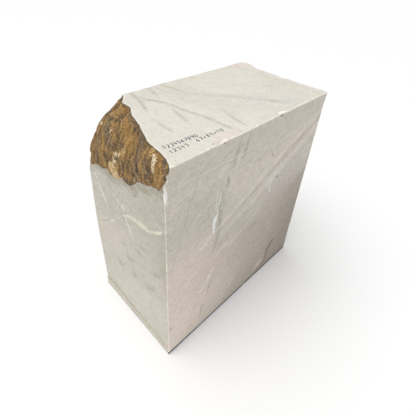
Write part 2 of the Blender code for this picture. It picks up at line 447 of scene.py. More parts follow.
for at, size, up in LUMPS:
    k = np.clip(1 - (np.linalg.norm(P - np.array(at), axis=1) / size) ** 2, 0, 1)
    k = k ** 0.6 * (0.75 + 0.6 * fbm(P / 0.0065, 2, 91)) * smooth(0.0, 0.006, crust_d)
    P += N0 * (in_crust * up * k)[:, None]

# sawn faces are a little wavy
flat = (~in_crust) & (arris > 0.0)
wave = 0.0005 * fbm(P / 0.085, 3, 101) + 0.00018 * fbm(P / 0.022, 2, 111)
P += N0 * (np.where(flat, wave, 0) * smooth(0.0, 0.012, arris))[:, None]

# the top's back edge wanders
BACK_EDGE = np.array(((-0.20, 0.0), (-0.163, 0.0), (-0.150, -0.0040), (-0.137, 0.0), (-0.118, 0.0022), (-0.090, 0.0004), (-0.052, 0.0042),
                      (-0.022, 0.0004), (0.016, 0.0026), (0.050, 0.0), (0.24, 0.0), (0.295, 0.0020), (0.325, 0.0022), (0.36, 0.0)))
P[:, 1] += pchip(BACK_EDGE, P[:, 0]) * smooth(YB - 0.035, YB, P[:, 1]) * smooth(0.722, 0.757, P[:, 2])
# the back corner of the break steps in a little
inward = 0.0066 * np.clip(1 - ((P[:, 2] - 0.6510) / 0.0150) ** 2, 0, 1) ** 1.5 \
    + 0.0034 * smooth(0.560, 0.580, P[:, 2]) * (1 - smooth(0.612, 0.627, P[:, 2]))
P[:, 0] += inward * smooth(YB - 0.040, YB - 0.006, P[:, 1]) * (1 - smooth(-0.27, -0.24, P[:, 0]))
# the strip left proud along the top's +X end
x_rim = 0.302 + 0.015 * smooth(0.03, -0.07, P[:, 1]) - 0.010
strip = smooth(-0.0016, 0.0016, P[:, 0] - x_rim) * smooth(HEIGHT - 0.004, HEIGHT - 0.0015, P[:, 2])
P[:, 2] += 0.0009 * strip * (N0[:, 2] > 0.7)

# the shallow step the saw left across the front
z_saw = 0.6990 - 0.010 * np.clip((P[:, 0] + 0.333) / 0.51, 0, 1.3)
on_front = (np.abs(P[:, 1] - YF) < 0.0015) & (N0[:, 1] < -0.6)
step = smooth(-0.0012, 0.0012, P[:, 2] - z_saw) * smooth(XL + 0.008, XL + 0.028, P[:, 0]) \
    * (1 - smooth(0.10, 0.20, P[:, 0])) * smooth(0, 0.012, HEIGHT - P[:, 2])
P[:, 1] += 0.0010 * step * on_front

# arrises worn unevenly
worn = np.clip(0.42 + 0.5 * fbm(P / 0.016, 3, 131), 0.05, 0.9)
worn *= 1 - smooth(0.0018, 0.0060, arris)
worn *= 0.1 + 0.9 * smooth(0.003, 0.010, P[:, 2])        # the foot is nearly sharp
worn = np.where(in_crust & (crust_d > 0.004) & (np.abs(P[:, 1]) < DEPTH / 2 - 0.004), 0, worn)
for _ in range(3):
    P += worn[:, None] * 0.70 * (average(P) - P)


def chip(at, radius, depth, out, squash=(1, 1, 1)):
    """A shell-shaped chip: what lies inside a ball that stands mostly outside is pushed to its surface."""
    out = Vector(out).normalized()
    centre = np.array(Vector(at) + out * (radius - depth))
    d = (P - centre) / np.array(squash)
    ln = np.linalg.norm(d, axis=1)
    r = radius * (1 + 0.10 * fbm(P / 0.006, 2, 141))
    hit = ln < r
    P[hit] = centre + d[hit] / ln[hit, None] * r[hit, None] * np.array(squash)


chip((0.070, YF, HEIGHT), 0.013, 0.0036, (0, -1, 0.7), (1.25, 1, 1))
chip((0.090, YF, HEIGHT), 0.012, 0.0012, (0, -1, 0.4), (1.3, 1, 1))
for x, r, d in ((-0.322, 0.010, 0.0014), (-0.300, 0.009, 0.0011), (-0.278, 0.008, 0.0016), (-0.244, 0.009, 0.0010),
                (-0.200, 0.012, 0.0022), (-0.188, 0.010, 0.0018), (-0.173, 0.011, 0.0021), (-0.158, 0.008, 0.0014),
                (-0.118, 0.009, 0.0012), (-0.060, 0.010, 0.0009), (-0.012, 0.008, 0.0013), (0.034, 0.007, 0.0011),
                (0.128, 0.010, 0.0012), (0.176, 0.008, 0.0010), (0.221, 0.011, 0.0016), (0.262, 0.008, 0.0011),
                (0.300, 0.010, 0.0017)):
    chip((x, YF, HEIGHT), r, d, (0, -1, 0.8), (1.2, 1, 1))
rng = np.random.default_rng(7)
for n in range(46):                                      # the arrises round the back, the ends and the foot
    r = float(rng.uniform(0.007, 0.014))
    d = float(rng.uniform(0.0008, 0.0022))
    t = float(rng.uniform(0.04, 0.96))
    kind = n % 8
    if kind == 0:
        chip((XR, YF, HEIGHT * t), r, d, (1, -1, 0))
    elif kind == 1:
        chip((XR + float(lip(YB, HEIGHT * t)), YB, HEIGHT * t), r, d, (1, 1, 0))
    elif kind == 2:
        chip((XL + 0.13 + (SAWN - 0.15) * t, YB, HEIGHT), r, d, (0, 1, 0.8))
    elif kind == 3:
        chip((XL + SAWN * t, YF, 0), r, d, (0, -1, -1))
    elif kind == 4:
        chip((XL + SAWN * t, YB, 0), r, d, (0, 1, -1))
    elif kind == 5:
        y = YF + DEPTH * t
        chip((XR + float(lip(y, HEIGHT)), y, HEIGHT), r, d, (1, 0, 0.8))
    elif kind == 6:
        z = 0.06 + 0.60 * t
        chip((XL + float(end_inset(YF, z)), YF, z), r * 0.8, d * 0.8, (-1, -1, 0))
    else:
        z = 0.06 + 0.48 * t
        chip((XL + float(end_inset(YB, z)), YB, z), r, d * 1.4, (-1, 1, 0))

P[:, 2] = np.maximum(P[:, 2], 0.0)                       # it stands on the ground

# how far each vertex stands out of its surroundings, in mm: the break is painted darker in its hollows and given
# painted highlights on its high points
Q = P.copy()
for _ in range(5):
    Q = average(Q)
cavity = ((P - Q) * vertex_normals()).sum(1) * 1000

# ------------------------------------------------------------------ UV charts
SPAN = 1.556                                             # metres across the sheet
GAP = 0.009


def chart(name):
    q = SHEETS[name]
    x, y, z = P0[q][..., 0], P0[q][..., 1], P0[q][..., 2]
    if name == "front":
        return x - XL, z, 0, 0
    if name == "back":
        return XR + LIP - x, z, 0.706 + GAP, 0
    if name == "right":
        return z, y - YF, 0, 0.762 + GAP
    if name == "top":
        return x - XL, y - YF, 0.762 + GAP, 0.762 + GAP
    if name == "left":
        return z, y - YF, 0, 1.143 + 2 * GAP
    if name == "crust":
        return arc[q], y - YF, 0.762 + GAP, 1.143 + 2 * GAP
    return (x - XL) * 0.62, (y - YF) * 0.62, 0.762 + 0.300 + 2 * GAP, 1.143 + 2 * GAP


QUADS = np.concatenate(list(SHEETS.values()))

mesh = bpy.data.meshes.new("marble_block_stone")
mesh.from_pydata(P.tolist(), [], QUADS.tolist())
mesh.polygons.foreach_set("use_smooth", np.ones(len(QUADS), bool))
for name, values in (("crust_d", crust_d), ("crust_down", down), ("crust_across", across), ("arris", arris), ("cavity", cavity)):
    mesh.attributes.new(name, "FLOAT", "POINT").data.foreach_set("value", values.astype(np.float32))
uv = mesh.uv_layers.new(name="OFBake")
coords = []
for name in SHEETS:
    u, v, u0, v0 = chart(name)
    coords.append(np.stack([(u + u0 + 0.006) / SPAN, (v + v0 + 0.006) / SPAN], -1).reshape(-1, 2))
uv.data.foreach_set("uv", np.concatenate(coords).astype(np.float32).ravel())
mesh.update()
stone = bpy.data.objects.new("marble_block_stone", mesh)
bpy.context.scene.collection.objects.link(stone)
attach(stone, "root")
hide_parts("marble_block")

# --------------------------------------------------------------- node helpers
def lin(r, g, b, k=1.0):
    """An sRGB colour (0-255) as linear RGBA, times k."""
    out = []
    for c in (r, g, b):
        c /= 255
        out.append(min(1.0, k * (c / 12.92 if c <= 0.04045 else ((c + 0.055) / 1.055) ** 2.4)))
    return (*out, 1.0)


class Graph:
    """Short names for the shader nodes of one material."""

    def __init__(self, name):
        self.material = bpy.data.materials.new(name)
        self.material.use_nodes = True
        self.tree = self.material.node_tree
        self.shader = self.tree.nodes["Principled BSDF"]

    def node(self, kind, **props):
        n = self.tree.nodes.new(kind)
        for k, v in props.items():
            setattr(n, k, v)
        return n

    def put(self, socket, value):
        if isinstance(value, bpy.types.NodeSocket):
            self.tree.links.new(value, socket)
        elif value is not None:
            socket.default_value = value

    def m(self, op, a, b=None, c=None, clamp=False):
        n = self.node("ShaderNodeMath", operation=op, use_clamp=clamp)
        for socket, v in zip(n.inputs, (a, b, c)):
            self.put(socket, v)
        return n.outputs[0]

    def v(self, op, a, b=None, c=None, out=0):
        n = self.node("ShaderNodeVectorMath", operation=op)
        for socket, value in zip(n.inputs, (a, b, c)):
            self.put(socket, value)
        return n.outputs[out]

    def xyz(self, x, y, z=0.0):
        n = self.node("ShaderNodeCombineXYZ")
        for socket, value in zip(n.inputs, (x, y, z)):
            self.put(socket, value)
        return n.outputs[0]

    def scaled(self, vector, scale):
        n = self.node("ShaderNodeVectorMath", operation="SCALE")
        self.put(n.inputs[0], vector)
        self.put(n.inputs["Scale"], scale)
        return n.outputs[0]

    def noise(self, vector, scale, detail=4.0, rough=0.5, distortion=0.0, colour=False):
        n = self.node("ShaderNodeTexNoise", noise_dimensions="3D")
        self.put(n.inputs["Vector"], vector)
        n.inputs["Scale"].default_value = scale
        n.inputs["Detail"].default_value = detail
        n.inputs["Roughness"].default_value = rough
        n.inputs["Distortion"].default_value = distortion
        return n.outputs["Color" if colour else "Fac"]

    def cells(self, vector, scale, feature="F1", random=1.0, out="Distance"):
        n = self.node("ShaderNodeTexVoronoi", feature=feature)
        self.put(n.inputs["Vector"], vector)
        n.inputs["Scale"].default_value = scale
        n.inputs["Randomness"].default_value = random
        return n.outputs[out]

    def span(self, x, a, b, lo=0.0, hi=1.0, kind="SMOOTHSTEP"):
        """x from a..b carried to lo..hi and held there outside."""
        n = self.node("ShaderNodeMapRange", interpolation_type=kind, clamp=True)
        for socket, value in zip(n.inputs, (x, a, b, lo, hi)):
            self.put(socket, value)
        return n.outputs[0]

    def curve(self, x, pts):
        n = self.node("ShaderNodeFloatCurve")
        self.put(n.inputs["Value"], x)
        c = n.mapping.curves[0]
        c.points[0].location, c.points[-1].location = pts[0], pts[-1]
        for p in pts[1:-1]:
            c.points.new(*p)
        n.mapping.update()
        return n.outputs[0]

    def mix(self, fac, a, b, blend="MIX"):
        n = self.node("ShaderNodeMix", data_type="RGBA", blend_type=blend, clamp_factor=True)
        self.put(n.inputs[0], fac)
        self.put(n.inputs[6], a)
        self.put(n.inputs[7], b)
        return n.outputs[2]

    def attribute(self, name):
        n = self.node("ShaderNodeAttribute", attribute_type="GEOMETRY", attribute_name=name)
        return n.outputs["Fac"]

    # marks placed on a face, in mm from its top left corner
    def line(self, along, off, pts, soft=0.6, amount=1.0):
        """A drawn-out mark: pts are (place, offset, half width) in mm, with the places rising."""
        t0, t1 = pts[0][0], pts[-1][0]
        s0, s1 = min(p[1] for p in pts) - 1, max(p[1] for p in pts) + 1
        wide = max(p[2] for p in pts)
        t = self.span(along, t0 / 1000, t1 / 1000, kind="LINEAR")
        s = self.curve(t, [((p[0] - t0) / (t1 - t0), (p[1] - s0) / (s1 - s0)) for p in pts])
        w = self.curve(t, [((p[0] - t0) / (t1 - t0), p[2] / wide) for p in pts])
        s = self.m("MULTIPLY_ADD", s, (s1 - s0) / 1000, s0 / 1000)
        lean = max(abs((b[1] - a[1]) / (b[0] - a[0])) for a, b in zip(pts, pts[1:]))
        d = self.m("ABSOLUTE", self.m("SUBTRACT", off, s))
        d = self.m("MULTIPLY", d, 1 / (wide / 1000) / math.sqrt(1 + (0.7 * lean) ** 2))
        d = self.m("MULTIPLY", self.m("SUBTRACT", w, d), 1 / soft, clamp=True)
        return self.m("MULTIPLY", d, amount) if amount != 1.0 else d

    def spot(self, uv, at, size, turn=0.0, soft=0.5, amount=1.0):
        """An oval mark, in mm, with an edge that fades over `soft` of its size."""
        u, v = uv
        c, sn = math.cos(math.radians(turn)), math.sin(math.radians(turn))
        (cu, cv), (ru, rv) = (k / 1000 for k in at), (k / 1000 for k in size)
        a = self.m("MULTIPLY_ADD", u, c / ru, self.m("MULTIPLY_ADD", v, sn / ru, -(cu * c + cv * sn) / ru))
        b = self.m("MULTIPLY_ADD", u, -sn / rv, self.m("MULTIPLY_ADD", v, c / rv, (cu * sn - cv * c) / rv))
        d = self.m("MULTIPLY_ADD", a, a, self.m("MULTIPLY", b, b))
        return self.span(d, (1 + soft / 2) ** 2, max(0.0, 1 - soft / 2) ** 2, 0.0, amount)

    def rod(self, place, a, b, size, soft=0.5, amount=1.0):
        """A rounded streak in space from a to b."""
        a, b = Vector(a), Vector(b)
        ab = b - a
        k = ab / ab.length_squared
        h = self.m("MULTIPLY_ADD", place[1], k[1], self.m("MULTIPLY_ADD", place[2], k[2], -a.dot(k)))
        h = self.m("MULTIPLY_ADD", place[0], k[0], h, clamp=True)
        d = 0.0
        for c in range(3):
            q = self.m("SUBTRACT", self.m("MULTIPLY_ADD", h, -ab[c], place[c]), a[c])
            d = self.m("MULTIPLY_ADD", q, q, d)
        return self.span(d, (size * (1 + soft / 2)) ** 2, (size * max(0.0, 1 - soft / 2)) ** 2, 0.0, amount)

    def wander(self, vector, scale, detail, rough, size):
        """Three noise values about zero, as floats, times size."""
        n = self.node("ShaderNodeSeparateColor")
        self.put(n.inputs[0], self.noise(vector, scale, detail, rough, colour=True))
        return [self.m("MULTIPLY_ADD", c, size, -size / 2) for c in n.outputs]

    def enter(self, name, **outer):
        """Go on in a node group that takes these sockets; Blender is quicker with several short trees."""
        group = bpy.data.node_groups.new(name, "ShaderNodeTree")
        kinds = {"RGBA": "NodeSocketColor", "VALUE": "NodeSocketFloat", "VECTOR": "NodeSocketVector"}
        for key, socket in outer.items():
            group.interface.new_socket(key, in_out="INPUT", socket_type=kinds[socket.type])
        self.outside = (self.tree, group, outer)
        self.tree = group
        inner = self.node("NodeGroupInput")
        sep = self.node("ShaderNodeSeparateColor")
        self.put(sep.inputs[0], inner.outputs["colour"])
        hold = self.m("MULTIPLY", sep.outputs[0], 1e-7)  # nothing here is worked out before the colour so far
        return [inner.outputs[key] if key == "colour" else self.m("ADD", inner.outputs[key], hold) for key in outer]

    def leave(self, result):
        outer_tree, group, outer = self.outside
        group.interface.new_socket("Colour", in_out="OUTPUT", socket_type="NodeSocketColor")
        self.put(self.node("NodeGroupOutput").inputs[0], result)
        self.tree = outer_tree
        n = self.node("ShaderNodeGroup")
        n.node_tree = group
        for key, socket in outer.items():
            self.put(n.inputs[key], socket)
        return n.outputs[0]

    def most(self, *masks):
        out = masks[0]
        for x in masks[1:]:
            out = self.m("MAXIMUM", out, x)
        return out


g = Graph("marble")
place = g.node("ShaderNodeTexCoord").outputs["Object"]
sep = g.node("ShaderNodeSeparateXYZ")
g.put(sep.inputs[0], place)
X, Yc, Z = sep.outputs
crust_at, arris_at, cavity_at = g.attribute("crust_d"), g.attribute("arris"), g.attribute("cavity")

# ------------------------------------------------- the marble, all through it
# its beds dip: one axis runs across them, two along them
across_beds = g.v("DOT_PRODUCT", place, (0.478, 0.108, -0.872), out=1)
along_a = g.v("DOT_PRODUCT", place, (0.877, 0.0, 0.481), out=1)
along_b = g.v("DOT_PRODUCT", place, (0.052, -0.994, -0.095), out=1)
bend = g.wander(place, 6.0, 3, 0.5, 0.10)
beds = g.xyz(g.m("MULTIPLY_ADD", along_a, 0.30, bend[0]), g.m("MULTIPLY_ADD", along_b, 0.34, bend[1]),
             g.m("ADD", across_beds, bend[2]))
# a second set of beds, steeper
beds_b = g.xyz(g.m("ADD", g.v("DOT_PRODUCT", place, (0.332, 0.726, -0.602), out=1), bend[1]),
               g.m("MULTIPLY_ADD", g.v("DOT_PRODUCT", place, (0.906, -0.421, 0.0), out=1), 0.22, bend[0]),
               g.m("MULTIPLY_ADD", g.v("DOT_PRODUCT", place, (-0.254, -0.545, -0.799), out=1), 0.22, bend[2]))
cloud_a = g.noise(place, 4.3, 5, 0.55)
cloud_b = g.noise(beds, 12.0, 5, 0.6)
bands = g.noise(beds, 46.0, 5, 0.62)
bands_b = g.noise(beds_b, 52.0, 5, 0.62)
fine = g.noise(place, 75.0, 5, 0.68)
blots = g.noise(place, 26.0, 4, 0.55)
colour = g.mix(g.span(cloud_a, 0.38, 0.62), lin(213, 208, 195), lin(205, 201, 187))
colour = g.mix(g.span(cloud_b, 0.45, 0.68, 0, 0.60), colour, lin(214, 203, 190))
colour = g.mix(g.span(bands, 0.50, 0.70, 0, 0.44), colour, lin(184, 179, 165))
colour = g.mix(g.span(bands, 0.48, 0.28, 0, 0.44), colour, lin(227, 221, 209))
colour = g.mix(g.span(bands_b, 0.52, 0.70, 0, 0.38), colour, lin(184, 180, 166))
colour = g.mix(g.span(bands_b, 0.46, 0.28, 0, 0.34), colour, lin(228, 223, 211))
colour = g.mix(g.span(blots, 0.56, 0.72, 0, 0.45), colour, lin(178, 173, 158))
colour = g.mix(g.span(fine, 0.52, 0.72, 0, 0.42), colour, lin(172, 167, 153))
colour = g.mix(g.span(fine, 0.46, 0.28, 0, 0.45), colour, lin(232, 228, 217))
# thin grey threads where slow fields cross their middle, and a few pale ones
thread = g.m("ABSOLUTE", g.m("SUBTRACT", g.noise(beds, 9.0, 6, 0.55, 0.2), 0.5))
thread = g.m("MULTIPLY", g.span(thread, 0.022, 0.002), g.span(blots, 0.40, 0.58))
colour = g.mix(g.m("MULTIPLY", thread, 0.45), colour, lin(158, 154, 141))
thread2 = g.m("ABSOLUTE", g.m("SUBTRACT", g.noise(beds_b, 7.5, 7, 0.6, 0.5), 0.5))
thread2 = g.m("MULTIPLY", g.span(thread2, 0.016, 0.001), g.span(cloud_b, 0.42, 0.60))
colour = g.mix(g.m("MULTIPLY", thread2, 0.50), colour, lin(234, 230, 218))

# the listed coordinates waver a little, so that no mark has a drawn edge
sep = g.node("ShaderNodeSeparateColor")
g.put(sep.inputs[0], colour)
after = g.m("MULTIPLY", sep.outputs[0], 1e-7)            # the marks are worked out after the stone, so few wait at once
X, Yc, Z = (g.m("ADD", c, after) for c in (X, Yc, Z))
shaken = [g.m("ADD", c, s) for c, s in zip((X, Yc, Z), g.wander(place, 38.0, 4, 0.55, 0.0075))]
wx, wy, wz = shaken
patchy = g.span(g.noise(place, 85.0, 3, 0.6), 0.36, 0.60)
drift = g.span(g.noise(place, 17.0, 4, 0.6), 0.38, 0.58, 0.15, 1.0)
grainy = g.span(g.noise(place, 210.0, 2, 0.6), 0.35, 0.62)



def lay(mask, tint, amount=1.0, face=None, rough=None):
    """Tint the stone where the mask says, only on one face."""
    global colour
    f = g.m("MULTIPLY", mask, face) if face is not None else mask
    if amount != 1.0:
        f = g.m("MULTIPLY", f, amount)
    if rough is not None:
        f = g.m("MULTIPLY", f, rough)
    colour = g.mix(f, colour, tint)


shared = dict(X=X, Y=Yc, Z=Z, wx=wx, wy=wy, wz=wz, patchy=patchy, crust=crust_at, drift=drift)

# ---------------------------------------------------------------- front face
colour, X, Yc, Z, wx, wy, wz, patchy, crust_at, drift = g.enter("marble_front", colour=colour, **shared)
uneven = g.m("MULTIPLY_ADD", patchy, 0.5, 0.5)
fu, fv = g.m("SUBTRACT", wx, XL), g.m("SUBTRACT", HEIGHT, wz)
front = g.span(Yc, YF + 0.0045, YF + 0.0025)
fuv = (fu, fv)


lay(front, lin(223, 212, 200), 0.46)
lay(g.spot(fuv, (110, 240), (110, 90), -20, 1.3), lin(194, 190, 174), 0.55, front)
lay(g.spot(fuv, (80, 480), (170, 170), -20, 1.3), lin(232, 216, 208), 0.66, front)
# painted light: paler low on the left of the front
lay(g.spot(fuv, (50, 720), (200, 130), -30, 1.3), lin(240, 226, 214), 0.70, front)
lay(g.spot(fuv, (470, 35), (250, 44), 0, 0.9), lin(205, 202, 187), 0.50, front)
lay(g.spot(fuv, (120, 28), (150, 34), 0, 0.9), lin(206, 198, 184), 0.35, front)
lay(g.spot(fuv, (560, 265), (150, 66), -26, 0.9), lin(203, 193, 187), 0.55, front)
lay(g.spot(fuv, (250, 340), (90, 34), -24, 1.2), lin(200, 197, 183), 0.45, front)
shade = g.m("MULTIPLY", g.span(fu, 0.02, 0.706, 0.0, 1.0, kind="LINEAR"), g.span(fv, 0.19, 0.47))          # painted shade: darker towards the right foot
lay(shade, lin(142, 130, 116), 0.92, front)
# painted shade and light in spots, part of the same darkening towards the right foot
lay(g.spot(fuv, (640, 345), (100, 30), -28, 0.8), lin(160, 148, 138), 0.45, front)
lay(g.spot(fuv, (400, 520), (170, 90), -50, 1.2), lin(190, 179, 165), 0.40, front)
lay(g.spot(fuv, (240, 620), (110, 60), -40, 1.2), lin(214, 202, 190), 0.35, front)
banded = g.m("MULTIPLY", uneven, drift)
# long pale bands that rise to the right, with a dull one between
lay(g.line(fu, fv, [(60, 366, 2), (100, 348, 5), (150, 320, 7), (220, 284, 9), (325, 230, 10), (450, 166, 13), (550, 118, 15), (706, 48, 15)], 1.0),
    lin(238, 226, 213), 0.95, front, banded)
lay(g.line(fu, fv, [(180, 322, 0), (250, 288, 10), (340, 246, 13), (450, 192, 14), (550, 147, 15), (706, 76, 15)], 1.0),
    lin(170, 159, 145), 0.72, front, banded)
lay(g.line(fu, fv, [(190, 340, 4), (270, 310, 11), (350, 281, 11), (435, 237, 11), (540, 186, 11), (706, 95, 12)], 1.0),
    lin(236, 225, 214), 0.80, front, banded)
lay(g.line(fu, fv, [(120, 402, 0), (200, 372, 7), (300, 330, 8), (420, 280, 8), (560, 215, 7), (706, 140, 6)], 1.0),
    lin(180, 169, 155), 0.55, front, banded)
lay(g.line(fu, fv, [(215, 480, 0), (260, 432, 6), (300, 400, 6), (380, 350, 0)], 1.0), lin(226, 217, 206), 0.55, front, banded)
lay(g.line(fu, fv, [(60, 610, 0), (130, 560, 6), (200, 520, 6), (320, 440, 5), (420, 370, 0)], 1.0), lin(190, 181, 167), 0.45, front, banded)
lay(g.line(fu, fv, [(430, 590, 0), (470, 520, 7), (505, 498, 6), (560, 470, 0)], 1.0), lin(200, 190, 178), 0.45, front, banded)
lay(g.line(fu, fv, [(0, 250, 5), (90, 205, 6), (200, 150, 6), (330, 95, 5), (430, 60, 0)], 1.0), lin(226, 216, 204), 0.40, front, banded)

# streaked grey-green marks and the white scar
lay(g.line(fv, fu, [(8, 254, 0), (36, 244, 9), (66, 234, 13), (86, 228, 12), (104, 221, 0)], 1.5), lin(138, 131, 119), 0.80, front, uneven)
lay(g.line(fv, fu, [(5, 285, 2), (40, 278, 9), (75, 268, 8), (110, 250, 0)], 0.9), lin(160, 161, 141), 0.75, front, uneven)
lay(g.line(fv, fu, [(112, 214, 0), (126, 213, 7.5), (142, 211, 8), (160, 206, 0)], 1.0), lin(140, 132, 112), 0.80, front, uneven)
lay(g.line(fv, fu, [(150, 201, 0), (172, 199, 4.5), (200, 199, 6), (224, 198, 5), (238, 196, 0)], 0.8), lin(126, 124, 106), 0.85, front, uneven)
lay(g.line(fv, fu, [(232, 193, 0), (250, 193, 8), (270, 197, 9), (284, 197, 7), (302, 196, 0)], 1.0), lin(136, 133, 114), 0.80, front, patchy)
lay(g.line(fv, fu, [(292, 199, 0), (318, 193, 7), (345, 188, 9), (364, 183, 8), (386, 177, 0)], 1.1), lin(136, 128, 110), 0.78, front, uneven)
lay(g.line(fv, fu, [(120, 190, 0), (170, 188, 16), (250, 190, 20), (310, 192, 18), (372, 190, 0)], 1.0), lin(177, 176, 158), 0.62, front)
for u0, a, b in ((174, 96, 222), (182, 148, 245), (199, 150, 228)):
    lay(g.line(fv, fu, [(a, u0 + 1, 0), ((a + b) / 2, u0, 2.8), (b - 12, u0 - 0.5, 3.4), (b, u0, 0)], 0.8), lin(240, 237, 228), 0.90, front, uneven)
lay(g.line(fv, fu, [(158, 188, 0), (172, 187, 5), (190, 186, 4.5), (204, 185, 0)], 0.7), lin(250, 250, 244), 0.85, front, uneven)
lay(g.line(fv, fu, [(226, 186, 0), (234, 182, 5), (241, 176, 9.5), (254, 174, 9), (266, 172, 7), (282, 171, 6), (297, 172, 5), (306, 172, 0)], 0.35),
    lin(246, 247, 243), 0.95, front, g.m("MULTIPLY_ADD", patchy, 0.3, 0.7))
lay(g.line(fv, fu, [(226, 436, 0), (245, 437, 4.0), (262, 436, 4.0), (283, 441, 4.5), (302, 448, 0)], 0.6), lin(238, 234, 230), 0.85, front)
lay(g.spot(fuv, (472, 243), (9, 6.5), 10, 0.5), lin(118, 110, 110), 0.90, front)
lay(g.spot(fuv, (458, 222), (44, 30), -20, 0.9), lin(222, 214, 212), 0.60, front, uneven)
lay(g.line(fv, fu, [(108, 402, 0), (122, 409, 6), (134, 416, 6), (152, 427, 0)], 0.8), lin(152, 128, 104), 0.70, front, patchy)
lay(g.spot(fuv, (349, 122), (12, 6), 25, 0.6), lin(158, 145, 138), 0.60, front, patchy)
# a hairline that falls to the left
lay(g.line(fv, fu, [(64, 101, 0), (100, 90, 3), (125, 79, 2.2), (175, 66, 2.2), (270, 39, 2.0), (340, 15, 2.2), (384, -2, 2.0)], 0.9), lin(152, 147, 132), 0.66, front, uneven)
# broken white vein, and the olive line under it
lay(g.line(fv, fu, [(440, 202, 0), (460, 197, 3.5), (478, 183, 5), (490, 172, 8), (506, 167, 8), (516, 159, 5), (530, 149, 6), (545, 134, 5), (558, 122, 0)], 0.8),
    lin(250, 245, 238), 1.0, front, g.m("MULTIPLY_ADD", patchy, 0.7, 0.3))
lay(g.line(fu, fv, [(94, 530, 0), (106, 534, 4), (122, 541, 4), (136, 548, 0)], 0.8), lin(238, 228, 220), 0.70, front, uneven)
lay(g.line(fv, fu, [(470, 204, 0), (500, 192, 5), (533, 184, 6), (553, 173, 8), (589, 163, 8), (628, 150, 9), (683, 141, 7), (745, 133, 4)], 1.3),
    lin(150, 140, 114), 0.74, front, banded)
lay(g.line(fv, fu, [(528, 186, 0), (550, 178, 3.6), (572, 171, 3.6), (590, 166, 0)], 0.9), lin(138, 126, 104), 0.70, front, uneven)
lay(g.line(fv, fu, [(495, 181, 0), (530, 172, 3.0), (575, 157, 4.0), (620, 142, 4.0), (680, 133, 3.0), (755, 124, 1.5)], 1.0),
    lin(236, 230, 220), 0.55, front, uneven)
for pts, amount in (([(100, 349, 0), (118, 334, 6), (145, 314, 6.5), (170, 297, 0)], 0.85), ([(176, 306, 0), (196, 292, 5), (222, 277, 5), (240, 264, 0)], 0.70),
                    ([(246, 420, 0), (262, 411, 5), (280, 398, 5), (300, 383, 0)], 0.80), ([(188, 420, 0), (206, 409, 5), (228, 399, 5), (248, 384, 0)], 0.60),
                    ([(236, 712, 0), (252, 699, 5), (276, 676, 5.5), (304, 643, 0)], 0.62), ([(330, 372, 0), (352, 362, 4.5), (392, 350, 4.5), (420, 342, 0)], 0.55),
                    ([(60, 452, 0), (84, 436, 5), (112, 420, 5), (136, 404, 0)], 0.55), ([(70, 612, 0), (90, 600, 6), (118, 576, 6), (136, 562, 0)], 0.45)):
    lay(g.line(fu, fv, pts, 1.0), lin(242, 236, 225), amount, front, uneven)
lay(g.line(fu, fv, [(98, 520, 0), (112, 540, 2), (135, 556, 0)], 0.8), lin(168, 158, 150), 0.5, front)
# rust near the right foot
lay(g.line(fv, fu, [(604, 554, 0), (618, 547, 9), (634, 538, 12), (652, 530, 11), (676, 525, 9), (694, 523, 7), (716, 515, 5), (738, 502, 0)], 0.9),
    lin(122, 88, 52), 0.94, front, g.m("MULTIPLY_ADD", patchy, 0.35, 0.65))
lay(g.spot(fuv, (541, 640), (8, 34), 28, 1.0), lin(134, 100, 64), 0.80, front, uneven)
lay(g.spot(fuv, (518, 700), (14, 34), 20, 1.1), lin(140, 118, 84), 0.60, front, uneven)
lay(g.line(fv, fu, [(650, 530, 0), (672, 525, 4.5), (692, 523, 5), (708, 519, 0)], 0.8), lin(84, 66, 46), 0.75, front)
lay(g.line(fv, fu, [(560, 506, 0), (600, 492, 4.5), (640, 478, 5), (672, 468, 0)], 1.0), lin(208, 196, 176), 0.50, front, uneven)
lay(g.line(fv, fu, [(540, 574, 0), (566, 566, 4), (590, 556, 0)], 1.0), lin(206, 192, 172), 0.55, front, uneven)
lay(g.spot(fuv, (482, 700), (34, 20), -32, 0.9), lin(222, 212, 192), 0.85, front, patchy)
lay(g.spot(fuv, (512, 735), (40, 12), -10, 0.9), lin(150, 134, 112), 0.55, front)
for at, r, tint in (((12, 120), 4, (204, 172, 154)), ((12, 150), 4, (206, 176, 158)), ((4, 612), 11, (196, 158, 132)),
                    ((16, 626), 5, (196, 166, 140)), ((52, 560), 5, (190, 170, 156))):
    lay(g.spot(fuv, at, (r, r * 1.5), 0, 1.2), lin(*tint), 0.5, front, patchy)
# painted shade in the hollows of the two largest chips along the top
lay(g.spot(fuv, (424, 3.5), (9, 4.5), 0, 0.6), lin(104, 92, 80), 0.90, front)
lay(g.spot(fuv, (186, 3.0), (6, 4.0), 0, 0.6), lin(128, 116, 100), 0.80, front)
# the saw's step: a thin pale line, and shade below it
saw_v = g.m("MULTIPLY_ADD", g.m("SUBTRACT", X, XL), 0.0196, 0.0626)
saw = g.m("SUBTRACT", g.m("SUBTRACT", HEIGHT, Z), saw_v)
run = g.m("MULTIPLY", g.span(X, XL + 0.014, XL + 0.03), g.span(X, 0.20, 0.02))
lay(g.m("MULTIPLY", g.span(g.m("ABSOLUTE", saw), 0.0016, 0.0004), run), lin(240, 232, 220), 0.55, front)
lay(g.m("MULTIPLY", g.span(g.m("ABSOLUTE", g.m("SUBTRACT", saw, 0.0030)), 0.0022, 0.0004), run), lin(170, 162, 152), 0.35, front)

colour = g.leave(colour)

